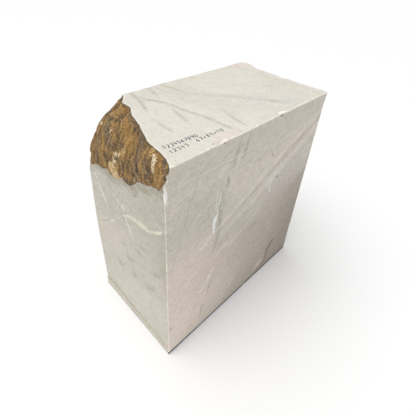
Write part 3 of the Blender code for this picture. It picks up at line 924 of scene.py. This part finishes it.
# ------------------------------------------------------------------ left face
colour, X, Yc, Z, wx, wy, wz, patchy, crust_at, drift = g.enter("marble_end", colour=colour, **shared)
uneven = g.m("MULTIPLY_ADD", patchy, 0.5, 0.5)
lu, lv = g.m("SUBTRACT", YB, wy), g.m("SUBTRACT", HEIGHT, wz)
left = g.m("MULTIPLY", g.span(X, XL + 0.026, XL + 0.020), g.span(Yc, YF + 0.0025, YF + 0.0045))
left = g.m("MULTIPLY", left, g.span(crust_at, 0.001, -0.0005))
luv = (lu, lv)
lay(left, lin(195, 190, 176), 0.46)
# painted shade: the end face darker towards its front edge, above its lower part
lay(g.m("MULTIPLY", g.span(Yc, YF + 0.060, YF + 0.006), g.span(Z, 0.27, 0.42)), lin(168, 162, 144), 0.60, left)
lay(g.m("MULTIPLY", g.span(Yc, YF + 0.185, YF + 0.040), g.span(Z, 0.22, 0.44, 0.16, 1.0)), lin(174, 168, 151), 0.32, left)
lay(g.spot(luv, (190, 210), (230, 130), -20, 0.6), lin(188, 183, 170), 0.60, left)
lay(g.spot(luv, (100, 410), (95, 62), -25, 0.6), lin(210, 199, 186), 0.60, left)
lay(g.spot(luv, (200, 330), (60, 20), -30, 0.7), lin(208, 197, 184), 0.45, left)
lay(g.spot(luv, (255, 400), (90, 70), -30, 0.9), lin(196, 192, 177), 0.45, left)
lay(g.spot(luv, (330, 430), (60, 50), -30, 0.9), lin(206, 196, 183), 0.40, left)
lay(g.spot(luv, (250, 610), (140, 70), -20, 0.9), lin(217, 210, 200), 0.45, left)
lay(g.spot(luv, (120, 650), (110, 60), 0, 0.9), lin(209, 204, 190), 0.40, left)
lay(g.line(lu, lv, [(6, 414, 2.5), (37, 392, 3.4), (75, 365, 3.4), (112, 338, 0)], 0.9), lin(168, 161, 146), 0.60, left)
for at, size, turn, amount in (((132, 160), (28, 11), -5, 0.85), ((252, 128), (17, 19), 0, 0.80), ((300, 98), (30, 11), -14, 0.85),
                               ((200, 140), (20, 7), -10, 0.6), ((60, 168), (24, 6), -14, 0.6), ((345, 80), (14, 6), -14, 0.5)):
    lay(g.spot(luv, at, size, turn, 0.8), lin(152, 145, 122), amount, left, g.m("MULTIPLY_ADD", patchy, 0.6, 0.4))
for at, size, turn in (((165, 395), (14, 9), 0), ((210, 505), (12, 18), 15), ((282, 322), (26, 9), -20), ((252, 360), (14, 8), -30),
                       ((195, 440), (22, 9), 0), ((300, 480), (30, 12), -30), ((130, 520), (22, 14), -20), ((330, 385), (26, 10), -35)):
    lay(g.spot(luv, at, size, turn, 0.9), lin(162, 157, 141), 0.66, left, patchy)
stain_d = g.m("MULTIPLY_ADD", g.m("SUBTRACT", patchy, 0.5), 0.010, crust_at)
lay(g.span(stain_d, -0.026, -0.004), lin(166, 160, 141), 0.60, left)
vein_light = lin(234, 230, 210)
lay(g.line(lu, lv, [(102, 347, 0), (111, 339, 7.5), (121, 329, 4), (150, 300, 3.2), (192, 260, 4.2), (206, 250, 6), (220, 245, 7),
                    (250, 237, 8), (275, 233, 11), (292, 231, 10), (312, 229, 7.5), (330, 218, 6.5), (350, 205, 7), (358, 199, 8.5), (366, 193, 0)], 0.45),
    vein_light, 0.95, left, g.m("MULTIPLY_ADD", patchy, 0.55, 0.45))
lay(g.line(lu, lv, [(240, 240, 0), (262, 236, 3), (280, 235, 3.5), (292, 233, 0)], 0.8), lin(205, 205, 170), 0.60, left)
lay(g.line(lu, lv, [(136, 216, 0), (150, 222, 5.0), (168, 228, 4.0), (186, 236, 5.5), (196, 243, 0)], 0.6), vein_light, 0.80, left, patchy)
lay(g.line(lv, lu, [(220, 186, 0), (230, 189, 5.5), (244, 200, 0)], 0.7), vein_light, 0.85, left)
lay(g.line(lv, lu, [(254, 190, 0), (272, 199, 5.5), (292, 207, 6), (308, 215, 7.5), (319, 220, 0)], 0.6), vein_light, 0.88, left, uneven)
lay(g.line(lv, lu, [(196, 32, 0), (208, 38, 8), (222, 46, 4), (238, 56, 8), (252, 66, 8.5), (268, 80, 8), (282, 88, 4), (304, 98, 3), (320, 103, 0)], 0.5),
    lin(232, 226, 206), 0.85, left, g.m("MULTIPLY_ADD", patchy, 0.5, 0.5))
lay(g.line(lv, lu, [(494, 27, 0), (512, 30, 8), (535, 31, 8), (560, 30, 0)], 0.8), lin(236, 236, 233), 0.60, left, patchy)
lay(g.line(lv, lu, [(450, 14, 0), (490, 12, 6), (540, 10, 6), (584, 12, 0)], 0.9), lin(168, 168, 156), 0.45, left, patchy)
for at, r, tint in (((372, 590), 5, (205, 170, 150)), ((376, 625), 5, (200, 165, 140)), ((12, 640), 5, (190, 160, 140))):
    lay(g.spot(luv, at, (r, r * 2), 0, 0.8), lin(*tint), 0.5, left)
# the ledge at the foot: brown in the step, pale below it
ledge = g.curve(g.span(Yc, YF, YB, kind="LINEAR"), [(0, 0.29), (0.25, 0.30), (0.5, 0.33), (0.75, 0.37), (1, 0.41)])
ledge = g.m("SUBTRACT", Z, g.m("MULTIPLY_ADD", ledge, 0.1, 0.0004))
lay(g.span(g.m("ABSOLUTE", g.m("SUBTRACT", ledge, 0.004)), 0.011, 0.0015), lin(178, 163, 136), 0.50, left, uneven)
lay(g.span(g.m("ABSOLUTE", g.m("ADD", ledge, 0.012)), 0.011, 0.003), lin(220, 211, 196), 0.50, left)

colour = g.leave(colour)

# ------------------------------------------------------------------- top face
colour, X, Yc, Z, wx, wy, wz, patchy, crust_at, drift = g.enter("marble_top", colour=colour, **shared)
uneven = g.m("MULTIPLY_ADD", patchy, 0.5, 0.5)
tu, tv = g.m("SUBTRACT", wx, XL), g.m("SUBTRACT", YB, wy)
top = g.m("MULTIPLY", g.span(Z, HEIGHT - 0.004, HEIGHT - 0.002), g.span(crust_at, 0.001, -0.0005))
tuv = (tu, tv)
lay(top, lin(217, 213, 201), 0.66)
lay(g.spot(tuv, (150, 270), (260, 150), 0, 1.3), lin(230, 226, 215), 0.32, top)
grey = lin(160, 155, 140)
for pts, amount in (
        ([(40, 174, 0), (65, 181, 8.8), (100, 200, 10.5), (145, 215, 10.5), (190, 222, 10.5), (235, 232, 10.5), (280, 240, 9.6), (325, 243, 8.8), (378, 252, 7.0)], 0.85),
        ([(2, 172, 7.0), (45, 167, 8.8), (90, 155, 8.8), (125, 142, 7.9), (152, 130, 0)], 0.78),
        ([(6, 284, 0), (30, 291, 8.8), (65, 300, 9.6), (100, 303, 7.9), (135, 306, 0)], 0.70),
        ([(244, 311, 0), (270, 305, 7.0), (295, 297, 7.9), (325, 292, 7.9), (360, 289, 0)], 0.72),
        ([(155, 206, 0), (190, 196, 8.8), (215, 190, 8.8), (284, 174, 0)], 0.58),
        ([(190, 125, 0), (220, 120, 7.9), (284, 117, 0)], 0.50),
        ([(2, 240, 8.8), (30, 233, 10.5), (60, 225, 9.6), (98, 216, 0)], 0.66),
        ([(2, 262, 5.2), (40, 262, 7.0), (95, 268, 0)], 0.42),
        ([(60, 330, 0), (120, 345, 10.5), (180, 352, 10.5), (240, 372, 0)], 0.30)):
    lay(g.line(tv, tu, pts, 1.3), grey, min(1.0, amount * 1.22), top, g.m("MULTIPLY", g.m("MULTIPLY_ADD", patchy, 0.4, 0.6), g.m("MULTIPLY_ADD", drift, 0.5, 0.5)))
lay(g.line(tu, tv, [(285, 0, 3), (293, 20, 6), (314, 110, 8), (353, 158, 8), (404, 211, 8), (450, 270, 8), (495, 325, 9), (520, 345, 0)], 1.0),
    lin(172, 167, 155), 0.78, top, uneven)
lay(g.line(tu, tv, [(300, 60, 0), (380, 100, 7), (470, 150, 8), (560, 215, 7), (640, 260, 0)], 1.0), lin(186, 182, 168), 0.55, top, uneven)
lay(g.line(tu, tv, [(420, 20, 0), (500, 70, 8), (580, 110, 8), (660, 170, 0)], 1.0), lin(188, 184, 170), 0.50, top, uneven)
lay(g.spot(tuv, (330, 170), (60, 120), -20, 1.2), lin(203, 200, 186), 0.40, top)
lay(g.spot(tuv, (470, 120), (130, 90), 0, 1.2), lin(221, 217, 206), 0.50, top)
lay(g.spot(tuv, (215, 362), (46, 14), 0, 0.9), lin(221, 208, 199), 0.70, top)
lay(g.spot(tuv, (160, 372), (9, 4), 0, 1.2), lin(208, 168, 150), 0.60, top, patchy)
lay(g.spot(tuv, (648, 235), (26, 14), 0, 1.2), lin(214, 200, 190), 0.50, top, patchy)
lay(g.spot(tuv, (665, 126), (12, 10), 0, 0.9), lin(208, 194, 168), 0.60, top)
lay(g.spot(tuv, (660, 26), (34, 22), 20, 1.3), lin(224, 204, 190), 0.70, top, uneven)
lay(g.spot(tuv, (452, 262), (46, 34), 20, 1.1), lin(208, 204, 199), 0.45, top)
lay(g.spot(tuv, (515, 335), (26, 24), 0, 1.0), lin(204, 209, 204), 0.45, top)
lay(g.line(tu, tv, [(500, 373, 0), (508, 370, 1.4), (520, 365, 1.8), (530, 361, 0)], 0.6), lin(140, 155, 172), 0.70, top)
# painted shade along the step where the strip by the +X end stands proud; the strip itself is paler
rim_line = g.m("SUBTRACT", X, g.m("ADD", 0.292, g.m("MULTIPLY", g.span(Yc, 0.03, -0.07), 0.015)))
lay(g.span(g.m("ABSOLUTE", rim_line), 0.006, 0.0015), lin(196, 193, 182), 0.45, top, g.m("MULTIPLY_ADD", patchy, 0.6, 0.4))
lay(g.span(rim_line, 0.002, 0.008), lin(221, 215, 206), 0.45, top)
# yellowed edge along the back, left of the middle
lay(g.spot(tuv, (190, 4), (26, 8), 0, 0.9), lin(214, 203, 184), 0.55, top, patchy)
# painted highlights on the front edge of the top, beside the two largest chips
lay(g.spot(tuv, (432, 374), (16, 5), 0, 0.6), lin(252, 246, 234), 0.90, top)
lay(g.spot(tuv, (188, 375), (9, 4), 0, 0.6), lin(252, 246, 234), 0.85, top)

colour = g.leave(colour)
X, Yc, Z, wx, wy, wz, patchy, crust_at, drift = shared.values()

# -------------------------------------------- the broken, weathered shoulder
slope = (-0.600, -0.200, -0.775)                       # streaks run down this way
side = Vector(slope).cross(Vector((-0.62, 0.16, 0.77))).normalized()
out = Vector(slope).cross(side).normalized()
grain = g.xyz(g.m("MULTIPLY", g.v("DOT_PRODUCT", place, slope, out=1), 0.22),
              g.v("DOT_PRODUCT", place, tuple(side), out=1), g.v("DOT_PRODUCT", place, tuple(out), out=1))
shake_a, shake_b = g.wander(place, 50.0, 4, 0.65, 0.030), g.wander(place, 85.0, 3, 0.6, 0.011)
speck = g.noise(place, 230.0, 4, 0.65)
rim_noise = g.noise(place, 90.0, 3, 0.6)
(stone_in, X, Yc, Z, crust_at, down_at, cavity_in, blotch, knots, streaks, speck_in, rim_in,
 ay_, ad_, by_, bd_) = g.enter(
    "marble_break", colour=colour, X=X, Y=Yc, Z=Z, crust=crust_at, down=g.attribute("crust_down"), cavity=cavity_at,
    blotch=g.noise(place, 34.0, 5, 0.60), knots=g.noise(place, 105.0, 4, 0.62), streaks=g.noise(grain, 110.0, 5, 0.62),
    speck=speck, rim=rim_noise, ay=shake_a[0], ad=shake_a[1], by=shake_b[0], bd=shake_b[1])


def stain(mask, tint, amount=1.0):
    global rust
    rust = g.mix(g.m("MULTIPLY", mask, amount) if amount != 1.0 else mask, rust, tint)


def streak(places, size, soft=0.8):
    """Rounded streaks on the break through the places (y, distance down), in mm."""
    masks = []
    for (ya, da), (yb, db) in zip(places, places[1:] or places):
        ax, ay, bx, by = ya / 1000, da / 1000, (yb - ya) / 1000, (db - da) / 1000
        k = bx * bx + by * by
        if k > 0:
            h = g.m("MULTIPLY_ADD", ry, bx / k, g.m("MULTIPLY_ADD", rd, by / k, -(ax * bx + ay * by) / k), clamp=True)
            p = g.m("SUBTRACT", g.m("MULTIPLY_ADD", h, -bx, ry), ax)
            q = g.m("SUBTRACT", g.m("MULTIPLY_ADD", h, -by, rd), ay)
        else:
            p, q = g.m("SUBTRACT", ry, ax), g.m("SUBTRACT", rd, ay)
        d = g.m("MULTIPLY_ADD", p, p, g.m("MULTIPLY", q, q))
        r = size / 1000
        masks.append(g.span(d, (r * (1 + soft / 2)) ** 2, (r * max(0.0, 1 - soft / 2)) ** 2))
    return g.most(*masks)


rust = g.mix(g.span(blotch, 0.40, 0.60), lin(112, 91, 64), lin(158, 123, 75))
rust = g.mix(g.span(streaks, 0.46, 0.68, 0, 0.24), rust, lin(104, 86, 66))
rust = g.mix(g.span(streaks, 0.44, 0.27, 0, 0.28), rust, lin(176, 140, 90))
rust = g.mix(g.span(knots, 0.53, 0.70, 0, 0.34), rust, lin(92, 75, 55))
rust = g.mix(g.span(knots, 0.46, 0.30, 0, 0.36), rust, lin(184, 148, 96))
ry, rd = g.m("ADD", Yc, ay_), g.m("ADD", down_at, ad_)
gold = g.most(streak(((72, 17), (12, 41), (-24, 57)), 13, 1.1), streak(((141, 88), (115, 109), (95, 127)), 7, 0.9),
              streak(((150, 38), (132, 18), (112, 15)), 11, 1.0), streak(((-104, 2), (-150, 11), (-160, 38), (-161, 60)), 11, 1.0),
              streak(((124, 160), (75, 172)), 8, 1.0), streak(((-33, 125), (-28, 120)), 9, 1.0))
stain(gold, g.mix(g.span(knots, 0.36, 0.62), lin(180, 140, 78), lin(150, 115, 62)), 0.74)
dark = g.most(streak(((139, 64), (113, 90), (92, 101), (64, 91)), 13, 0.9), streak(((155, 112), (127, 138), (133, 190)), 7, 0.9),
              streak(((90, 1), (32, 5), (-10, 10), (-48, 7)), 10, 0.9), streak(((-48, 15), (-69, 45), (-70, 70), (-73, 95)), 13, 1.1),
              streak(((-101, 36), (-118, 53), (-132, 71)), 8, 1.0), streak(((-160, 7), (-183, 18), (-182, 35)), 6, 0.9),
              streak(((-38, 130), (-50, 134)), 7, 1.0), streak(((176, 5), (128, 2)), 6, 1.0))
stain(dark, g.mix(g.span(streaks, 0.34, 0.66), lin(120, 104, 86), lin(98, 83, 67)), 0.84)
grey = g.most(streak(((150, 118), (130, 140), (134, 180)), 4, 0.9), streak(((126, 72), (106, 96)), 6, 1.0))
stain(grey, lin(112, 106, 90), 0.60)
rust = g.mix(g.span(speck_in, 0.54, 0.65, 0, 0.80), rust, lin(216, 176, 112))
rust = g.mix(g.span(speck_in, 0.45, 0.33, 0, 0.80), rust, lin(60, 48, 36))
# the break painted darker in its hollows, with painted highlights on its high points
rust = g.mix(g.span(cavity_in, -0.12, -0.90, 0, 0.42), rust, lin(60, 47, 35))
rust = g.mix(g.span(cavity_in, 0.25, 1.10, 0, 0.36), rust, lin(204, 164, 100))
# crystalline lumps and flecks
ry, rd = g.m("ADD", Yc, by_), g.m("ADD", down_at, bd_)
stain(g.most(streak(((50, 156), (30, 166)), 15, 0.45), streak(((24, 154), (14, 164)), 12, 0.5)),
      g.mix(g.span(streaks, 0.38, 0.62), lin(240, 214, 166), lin(200, 164, 114)), 0.90)
stain(g.most(streak(((14, 94), (-2, 74)), 8, 1.0), streak(((36, 112), (30, 136)), 11, 0.9), streak(((-106, 9), (-118, 14)), 7, 0.7),
             streak(((-161, 50), (-164, 62)), 5, 0.8)),
      g.mix(g.span(speck_in, 0.42, 0.60), lin(140, 106, 62), lin(232, 198, 140)), 0.80)
stain(g.most(streak(((29, 104), (26, 103)), 6.5, 0.6), streak(((12, 95), (14, 97)), 4.5, 0.7), streak(((34, 117), (31, 124)), 5, 0.7),
             streak(((37, 130), (36, 138)), 5, 0.7), streak(((-126, 17), (-134, 26)), 7.5, 0.6), streak(((-139, 34), (-142, 41)), 5, 0.7),
             streak(((22, 158), (16, 166)), 5, 0.8), streak(((88, 77), (90, 80)), 3.6, 0.6), streak(((174, 99), (176, 101)), 4.5, 0.8)),
      g.mix(g.span(speck_in, 0.43, 0.58), lin(186, 146, 88), lin(254, 244, 218)), 0.92)
stain(g.most(streak(((165, 56), (154, 50)), 4.5, 0.9), streak(((132, 45), (118, 44)), 2.6, 0.9), streak(((94, 41), (69, 38)), 2.0, 1.0),
             streak(((-68, 103), (-69, 111)), 3.5, 0.9), streak(((-79, 92), (-80, 96)), 3.0, 0.9)),
      lin(200, 172, 132), 0.55)
stain(g.most(streak(((84, 78), (82, 82)), 4, 0.8), streak(((30, 112), (26, 114)), 4.5, 0.9), streak(((20, 103), (18, 106)), 3.5, 0.9)),
      lin(72, 56, 40), 0.75)
# a dark line under the sawn top, and paler broken stone beside the front face
stain(g.m("MULTIPLY", g.span(crust_at, 0.0050, 0.0015), g.span(Z, 0.742, 0.750)), lin(84, 66, 48), 0.55)
rim_wander = g.m("MULTIPLY_ADD", rim_in, 0.006, -0.0026)
in_rust = g.span(g.m("SUBTRACT", crust_at, rim_wander), -0.0005, 0.0012)
width = g.m("ADD", g.span(Z, 0.738, 0.714, 0.0005, 0.0085, kind="LINEAR"), g.span(Z, 0.714, 0.692, 0.0, 0.0165, kind="LINEAR"))
fresh = g.span(g.m("SUBTRACT", g.m("SUBTRACT", Yc, g.m("MULTIPLY", rim_wander, -2.0)), width), YF + 0.0015, YF - 0.0010)
stain(fresh, g.mix(g.span(knots, 0.38, 0.62), lin(206, 198, 178), lin(176, 168, 148)))
colour = g.leave(g.mix(in_rust, stone_in, rust))
X, Yc, Z, wx, wy, wz, patchy, crust_at, drift = shared.values()
in_rust = g.span(crust_at, -0.0002, 0.0014)

# ---------------------------------- grain of the stone, over every tint
wear = g.noise(place, 120.0, 3, 0.6)
(colour, X, Yc, Z, arris_in, rusty, patchy, crust_at, n_round, n_beds, n_beds_b, wear_and_shade_noise, broken) = g.enter(
    "marble_grain", colour=colour, X=X, Y=Yc, Z=Z, arris=arris_at, rusty=in_rust, patchy=patchy, crust=crust_at,
    n_round=g.noise(place, 270.0, 3, 0.70), n_beds=g.noise(beds, 105.0, 4, 0.65),
    n_beds_b=g.noise(g.v("ADD", place, (3.0, 1.0, 2.0)), 120.0, 4, 0.62), wear=wear, broken=g.noise(place, 62.0, 4, 0.65))
marble = g.m("MULTIPLY", g.m("SUBTRACT", 1.0, rusty), g.span(Z, HEIGHT - 0.004, HEIGHT - 0.002, 1.0, 0.66))      # the sawn top is smoother
for n, darker, paler in ((n_round, 0.20, 0.23), (n_beds, 0.20, 0.22), (n_beds_b, 0.17, 0.19)):
    colour = g.mix(g.m("MULTIPLY", g.span(n, 0.50, 0.74, 0, darker), marble), colour, lin(120, 112, 97))
    colour = g.mix(g.m("MULTIPLY", g.span(n, 0.48, 0.26, 0, paler), marble), colour, lin(254, 250, 242))
edge = g.span(g.m("ADD", arris_in, g.m("MULTIPLY_ADD", wear_and_shade_noise, 0.006, -0.003)), 0.0022, 0.0004)
edge = g.m("MULTIPLY", edge, g.span(g.m("ABSOLUTE", crust_at), 0.004, 0.008, 0.25, 1.0))
colour = g.mix(g.m("MULTIPLY", edge, 0.55), colour, lin(232, 226, 214))
# the two arrises beside the corner that faces the front are paler, with small brown breaks
near_top = g.m("MULTIPLY", g.span(Yc, YF + 0.010, YF + 0.007), g.span(Z, HEIGHT - 0.0045, HEIGHT - 0.0025))
near_end = g.m("MULTIPLY", g.span(X, XL + 0.012, XL + 0.009), g.span(Yc, YF + 0.008, YF + 0.005))
band = g.span(g.m("ADD", arris_in, g.m("MULTIPLY_ADD", wear_and_shade_noise, 0.012, -0.006)), g.span(Z, 0.74, 0.75, 0.0026, 0.0044), 0.0008)
colour = g.mix(g.m("MULTIPLY", g.m("MULTIPLY", g.m("MAXIMUM", near_top, near_end), band), g.span(Z, 0.54, 0.64, 0.54, 0.90)), colour, lin(252, 246, 232))
head = g.m("MULTIPLY", g.span(arris_in, 0.0075, 0.0035), g.m("MULTIPLY", g.span(Z, 0.664, 0.682), g.span(Z, 0.722, 0.706)))
colour = g.mix(g.m("MULTIPLY", head, g.m("MULTIPLY", g.m("MAXIMUM", near_top, near_end), 0.90)), colour, lin(255, 253, 247))
broken = g.span(broken, 0.60, 0.66)
side_of = g.m("MULTIPLY", g.span(Yc, YF + 0.003, YF + 0.001), g.span(arris_in, 0.0045, 0.0025))
colour = g.mix(g.m("MULTIPLY", g.m("MULTIPLY", broken, side_of), g.span(Z, 0.70, 0.72, 0, 0.55)), colour, lin(126, 112, 96))
# a pale, dotted rim where the sawn top meets the break
rim = g.m("MULTIPLY", g.span(g.m("ABSOLUTE", g.m("ADD", crust_at, 0.0030)), 0.0034, 0.0008), g.span(Z, HEIGHT - 0.003, HEIGHT - 0.0015))
colour = g.mix(g.m("MULTIPLY", rim, g.m("MULTIPLY_ADD", patchy, 0.40, 0.05)), colour, lin(244, 240, 229))
# darker towards the foot
foot_darkening = g.m("MULTIPLY", g.span(Z, 0.014, 0.003), g.span(wear_and_shade_noise, 0.35, 0.62, 0.30, 1.0))
colour = g.mix(g.m("MULTIPLY", foot_darkening, 0.20), colour, lin(140, 131, 120))
# painted contact shadow: a near-black line along the foot, strongest on the front
painted_contact_shadow = g.span(g.m("ADD", Z, g.m("MULTIPLY_ADD", wear_and_shade_noise, 0.004, -0.002)), 0.0098, 0.0074)
colour = g.mix(g.m("MULTIPLY", painted_contact_shadow, g.span(Yc, YF + 0.005, YF + 0.003, 0.14, 1.0)), colour, lin(18, 17, 15))
colour = g.leave(colour)
X, Yc, Z, wx, wy, wz, patchy, crust_at, drift = shared.values()
edge = g.span(g.m("ADD", arris_at, g.m("MULTIPLY_ADD", wear, 0.006, -0.003)), 0.0022, 0.0004)

g.put(g.shader.inputs["Base Color"], colour)
rough = g.m("MULTIPLY_ADD", fine, 0.22, 0.46)
rough = g.m("ADD", rough, g.m("MULTIPLY", in_rust, g.m("MULTIPLY_ADD", speck, 0.20, 0.16)))
g.put(g.shader.inputs["Roughness"], rough)
g.shader.inputs["Specular IOR Level"].default_value = 0.35
grit = g.noise(place, 420.0, 3, 0.6)
saw_marks = g.noise(g.v("MULTIPLY", place, (30.0, 30.0, 900.0)), 1.0, 2, 0.5)
relief = g.m("MULTIPLY_ADD", grit, 0.00022, g.m("MULTIPLY", saw_marks, 0.00008))
grain_b = g.noise(g.v("MULTIPLY", place, (0.55, 1.0, 0.45)), 125.0, 4, 0.62)
relief = g.m("ADD", relief, g.m("MULTIPLY", in_rust, g.m("ADD", g.m("MULTIPLY", speck, 0.0056), g.m("MULTIPLY", grain_b, 0.0030))))
relief = g.m("ADD", relief, g.m("MULTIPLY", edge, g.m("MULTIPLY", wear, -0.0012)))
bump = g.node("ShaderNodeBump")
bump.inputs["Strength"].default_value = 1.0
bump.inputs["Distance"].default_value = 1.0
g.put(bump.inputs["Height"], relief)
g.put(g.shader.inputs["Normal"], bump.outputs[0])
mesh.materials.append(g.material)

# --------------------------------------- plain digits in ink on the sawn top
GLYPHS = {                                               # strokes in a box 0.6 wide and 1 tall
    "0": [[(0.30, 1.0), (0.08, 0.82), (0.02, 0.45), (0.12, 0.08), (0.32, 0.0), (0.54, 0.18), (0.58, 0.60), (0.48, 0.92), (0.28, 1.0)]],
    "1": [[(0.14, 0.80), (0.34, 1.0), (0.30, 0.0)]],
    "2": [[(0.04, 0.78), (0.18, 0.98), (0.44, 0.98), (0.55, 0.74), (0.36, 0.42), (0.02, 0.02), (0.30, 0.06), (0.60, 0.02)]],
    "3": [[(0.06, 0.92), (0.36, 1.0), (0.54, 0.80), (0.26, 0.54), (0.54, 0.36), (0.44, 0.06), (0.04, 0.04)]],
    "4": [[(0.30, 1.0), (0.02, 0.38), (0.58, 0.42)], [(0.46, 0.70), (0.42, 0.0)]],
    "5": [[(0.56, 0.98), (0.14, 0.96), (0.10, 0.56), (0.40, 0.62), (0.56, 0.34), (0.38, 0.02), (0.04, 0.06)]],
    "6": [[(0.48, 1.0), (0.16, 0.66), (0.04, 0.28), (0.24, 0.0), (0.50, 0.12), (0.48, 0.42), (0.22, 0.48), (0.06, 0.28)]],
    "7": [[(0.02, 0.96), (0.58, 0.96), (0.26, 0.0)], [(0.20, 0.50), (0.50, 0.52)]],
    "8": [[(0.50, 0.88), (0.26, 1.0), (0.10, 0.80), (0.46, 0.36), (0.40, 0.04), (0.12, 0.04), (0.08, 0.34), (0.50, 0.74), (0.50, 0.88)]],
    "9": [[(0.52, 0.72), (0.30, 0.52), (0.06, 0.70), (0.20, 0.98), (0.50, 0.92), (0.50, 0.40), (0.34, 0.0)]],
    "x": [[(0.04, 0.66), (0.50, 0.20)], [(0.48, 0.68), (0.06, 0.18)]],
}
ROWS = (("1234567890", (-0.3005, -0.1262), (-0.2095, -0.1325), 0.0134),
        ("12345  67x89x10", (-0.3000, -0.1500), (-0.1390, -0.1512), 0.0130))
tree = BVHTree.FromPolygons(P.tolist(), SHEETS["top"].tolist())
rng = np.random.default_rng(11)
ink_v, ink_f = [], []


def on_top(x, y):
    hit = tree.ray_cast(Vector((x, y, HEIGHT + 0.05)), Vector((0, 0, -1)))[0]
    return hit.z if hit is not None else HEIGHT


def stroke(pts, width):
    """A flat ribbon that lies on the stone along the points."""
    pts = np.array(pts)
    fine_pts = [pts[0]]
    for a, b in zip(pts, pts[1:]):
        n = max(1, int(np.hypot(*(b - a)) / 0.0012))
        fine_pts += [a + (b - a) * k / n for k in range(1, n + 1)]
    q = np.array(fine_pts)
    for _ in range(2):
        q[1:-1] = (q[:-2] + 2 * q[1:-1] + q[2:]) / 4
    t = np.gradient(q, axis=0)
    t /= np.maximum(np.linalg.norm(t, axis=1), 1e-9)[:, None]
    n = np.stack([-t[:, 1], t[:, 0]], 1)
    end = np.minimum(np.arange(len(q)), np.arange(len(q))[::-1])
    half = width / 2 * (0.55 + 0.45 * np.clip(end / 1.5, 0, 1)) * (1 + 0.18 * fbm(vec(q[:, 0], q[:, 1], 0 * q[:, 0]) / 0.004, 2, 171))
    base = len(ink_v)
    for c, m, w in zip(q, n, half):
        for side_of, lift in ((-1, 0.00004), (-0.7, 0.00016), (0.7, 0.00016), (1, 0.00004)):
            x, y = c + m * w * side_of
            ink_v.append((x, y, on_top(x, y) + lift))
    for k in range(len(q) - 1):
        for c in range(3):
            i = base + 4 * k + c
            ink_f.append((i, i + 1, i + 5, i + 4))


for text, start, stop, tall in ROWS:
    start, stop = np.array(start), np.array(stop)
    step = (stop - start) / (len(text) - 1)
    along = step / np.linalg.norm(step)
    up = np.array((-along[1], along[0]))
    for n, ch in enumerate(text):
        if ch == " ":
            continue
        at = start + step * n + up * rng.uniform(-0.0006, 0.0006)
        k = tall * rng.uniform(0.92, 1.05)
        lean = rng.uniform(0.02, 0.16)
        for pts in GLYPHS[ch]:
            stroke([at + (along * (px + lean * py) * 1.0 + up * py) * k for px, py in pts], 0.0021)
ink_mesh = bpy.data.meshes.new("marker_digits")
ink_mesh.from_pydata(ink_v, [], ink_f)
ink_mesh.polygons.foreach_set("use_smooth", np.ones(len(ink_f), bool))
ink_mesh.update()
ink = bpy.data.objects.new("marker_digits", ink_mesh)
bpy.context.scene.collection.objects.link(ink)
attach(ink, "root")
g = Graph("marker_ink")
place = g.node("ShaderNodeTexCoord").outputs["Object"]
fade = g.noise(place, 900.0, 3, 0.65)
blue = g.mix(g.span(fade, 0.35, 0.65), lin(46, 48, 70), lin(76, 78, 98))
blue = g.mix(g.span(g.noise(place, 260.0, 2, 0.5), 0.58, 0.70, 0, 0.6), blue, lin(150, 148, 150))
g.put(g.shader.inputs["Base Color"], blue)
g.put(g.shader.inputs["Roughness"], g.m("MULTIPLY_ADD", fade, 0.2, 0.42))
ink_mesh.materials.append(g.material)

# -------------------------------------------------------------- floor, light
bpy.ops.mesh.primitive_plane_add(size=30)
floor = bpy.context.object
floor.name = "floor"
fm = bpy.data.materials.new("floor")
fm.use_nodes = True
fb = fm.node_tree.nodes["Principled BSDF"]
fb.inputs["Base Color"].default_value = (0.88, 0.88, 0.88, 1)
fb.inputs["Roughness"].default_value = 0.9
floor.data.materials.append(fm)

world = bpy.data.worlds.new("studio")
bpy.context.scene.world = world
world.use_nodes = True
world.node_tree.nodes["Background"].inputs["Color"].default_value = (1, 1, 1, 1)
world.node_tree.nodes["Background"].inputs["Strength"].default_value = 0.50

sun = bpy.data.lights.new("key", "SUN")
sun.energy, sun.angle = 2.15, math.radians(55)
key = bpy.data.objects.new("key", sun)
key.rotation_euler = Vector((0.31, -0.12, -1)).to_track_quat("-Z", "Y").to_euler()
bpy.context.scene.collection.objects.link(key)


# -------------------------------------------------------------------- camera
cam = bpy.data.cameras.new("camera")
cam.sensor_width, cam.lens = 36.0, 27.572
cam.shift_x, cam.shift_y = -0.00776, -0.10225
view = bpy.data.objects.new("camera", cam)
view.location = (-0.67315, -0.60582, 1.14212)
view.rotation_euler = tuple(math.radians(a) for a in (55.2242, -3.6035, -45.4810))
cam.clip_start, cam.clip_end = 0.05, 60
bpy.context.scene.collection.objects.link(view)
bpy.context.scene.camera = view
bpy.context.scene.view_settings.view_transform = "Standard"
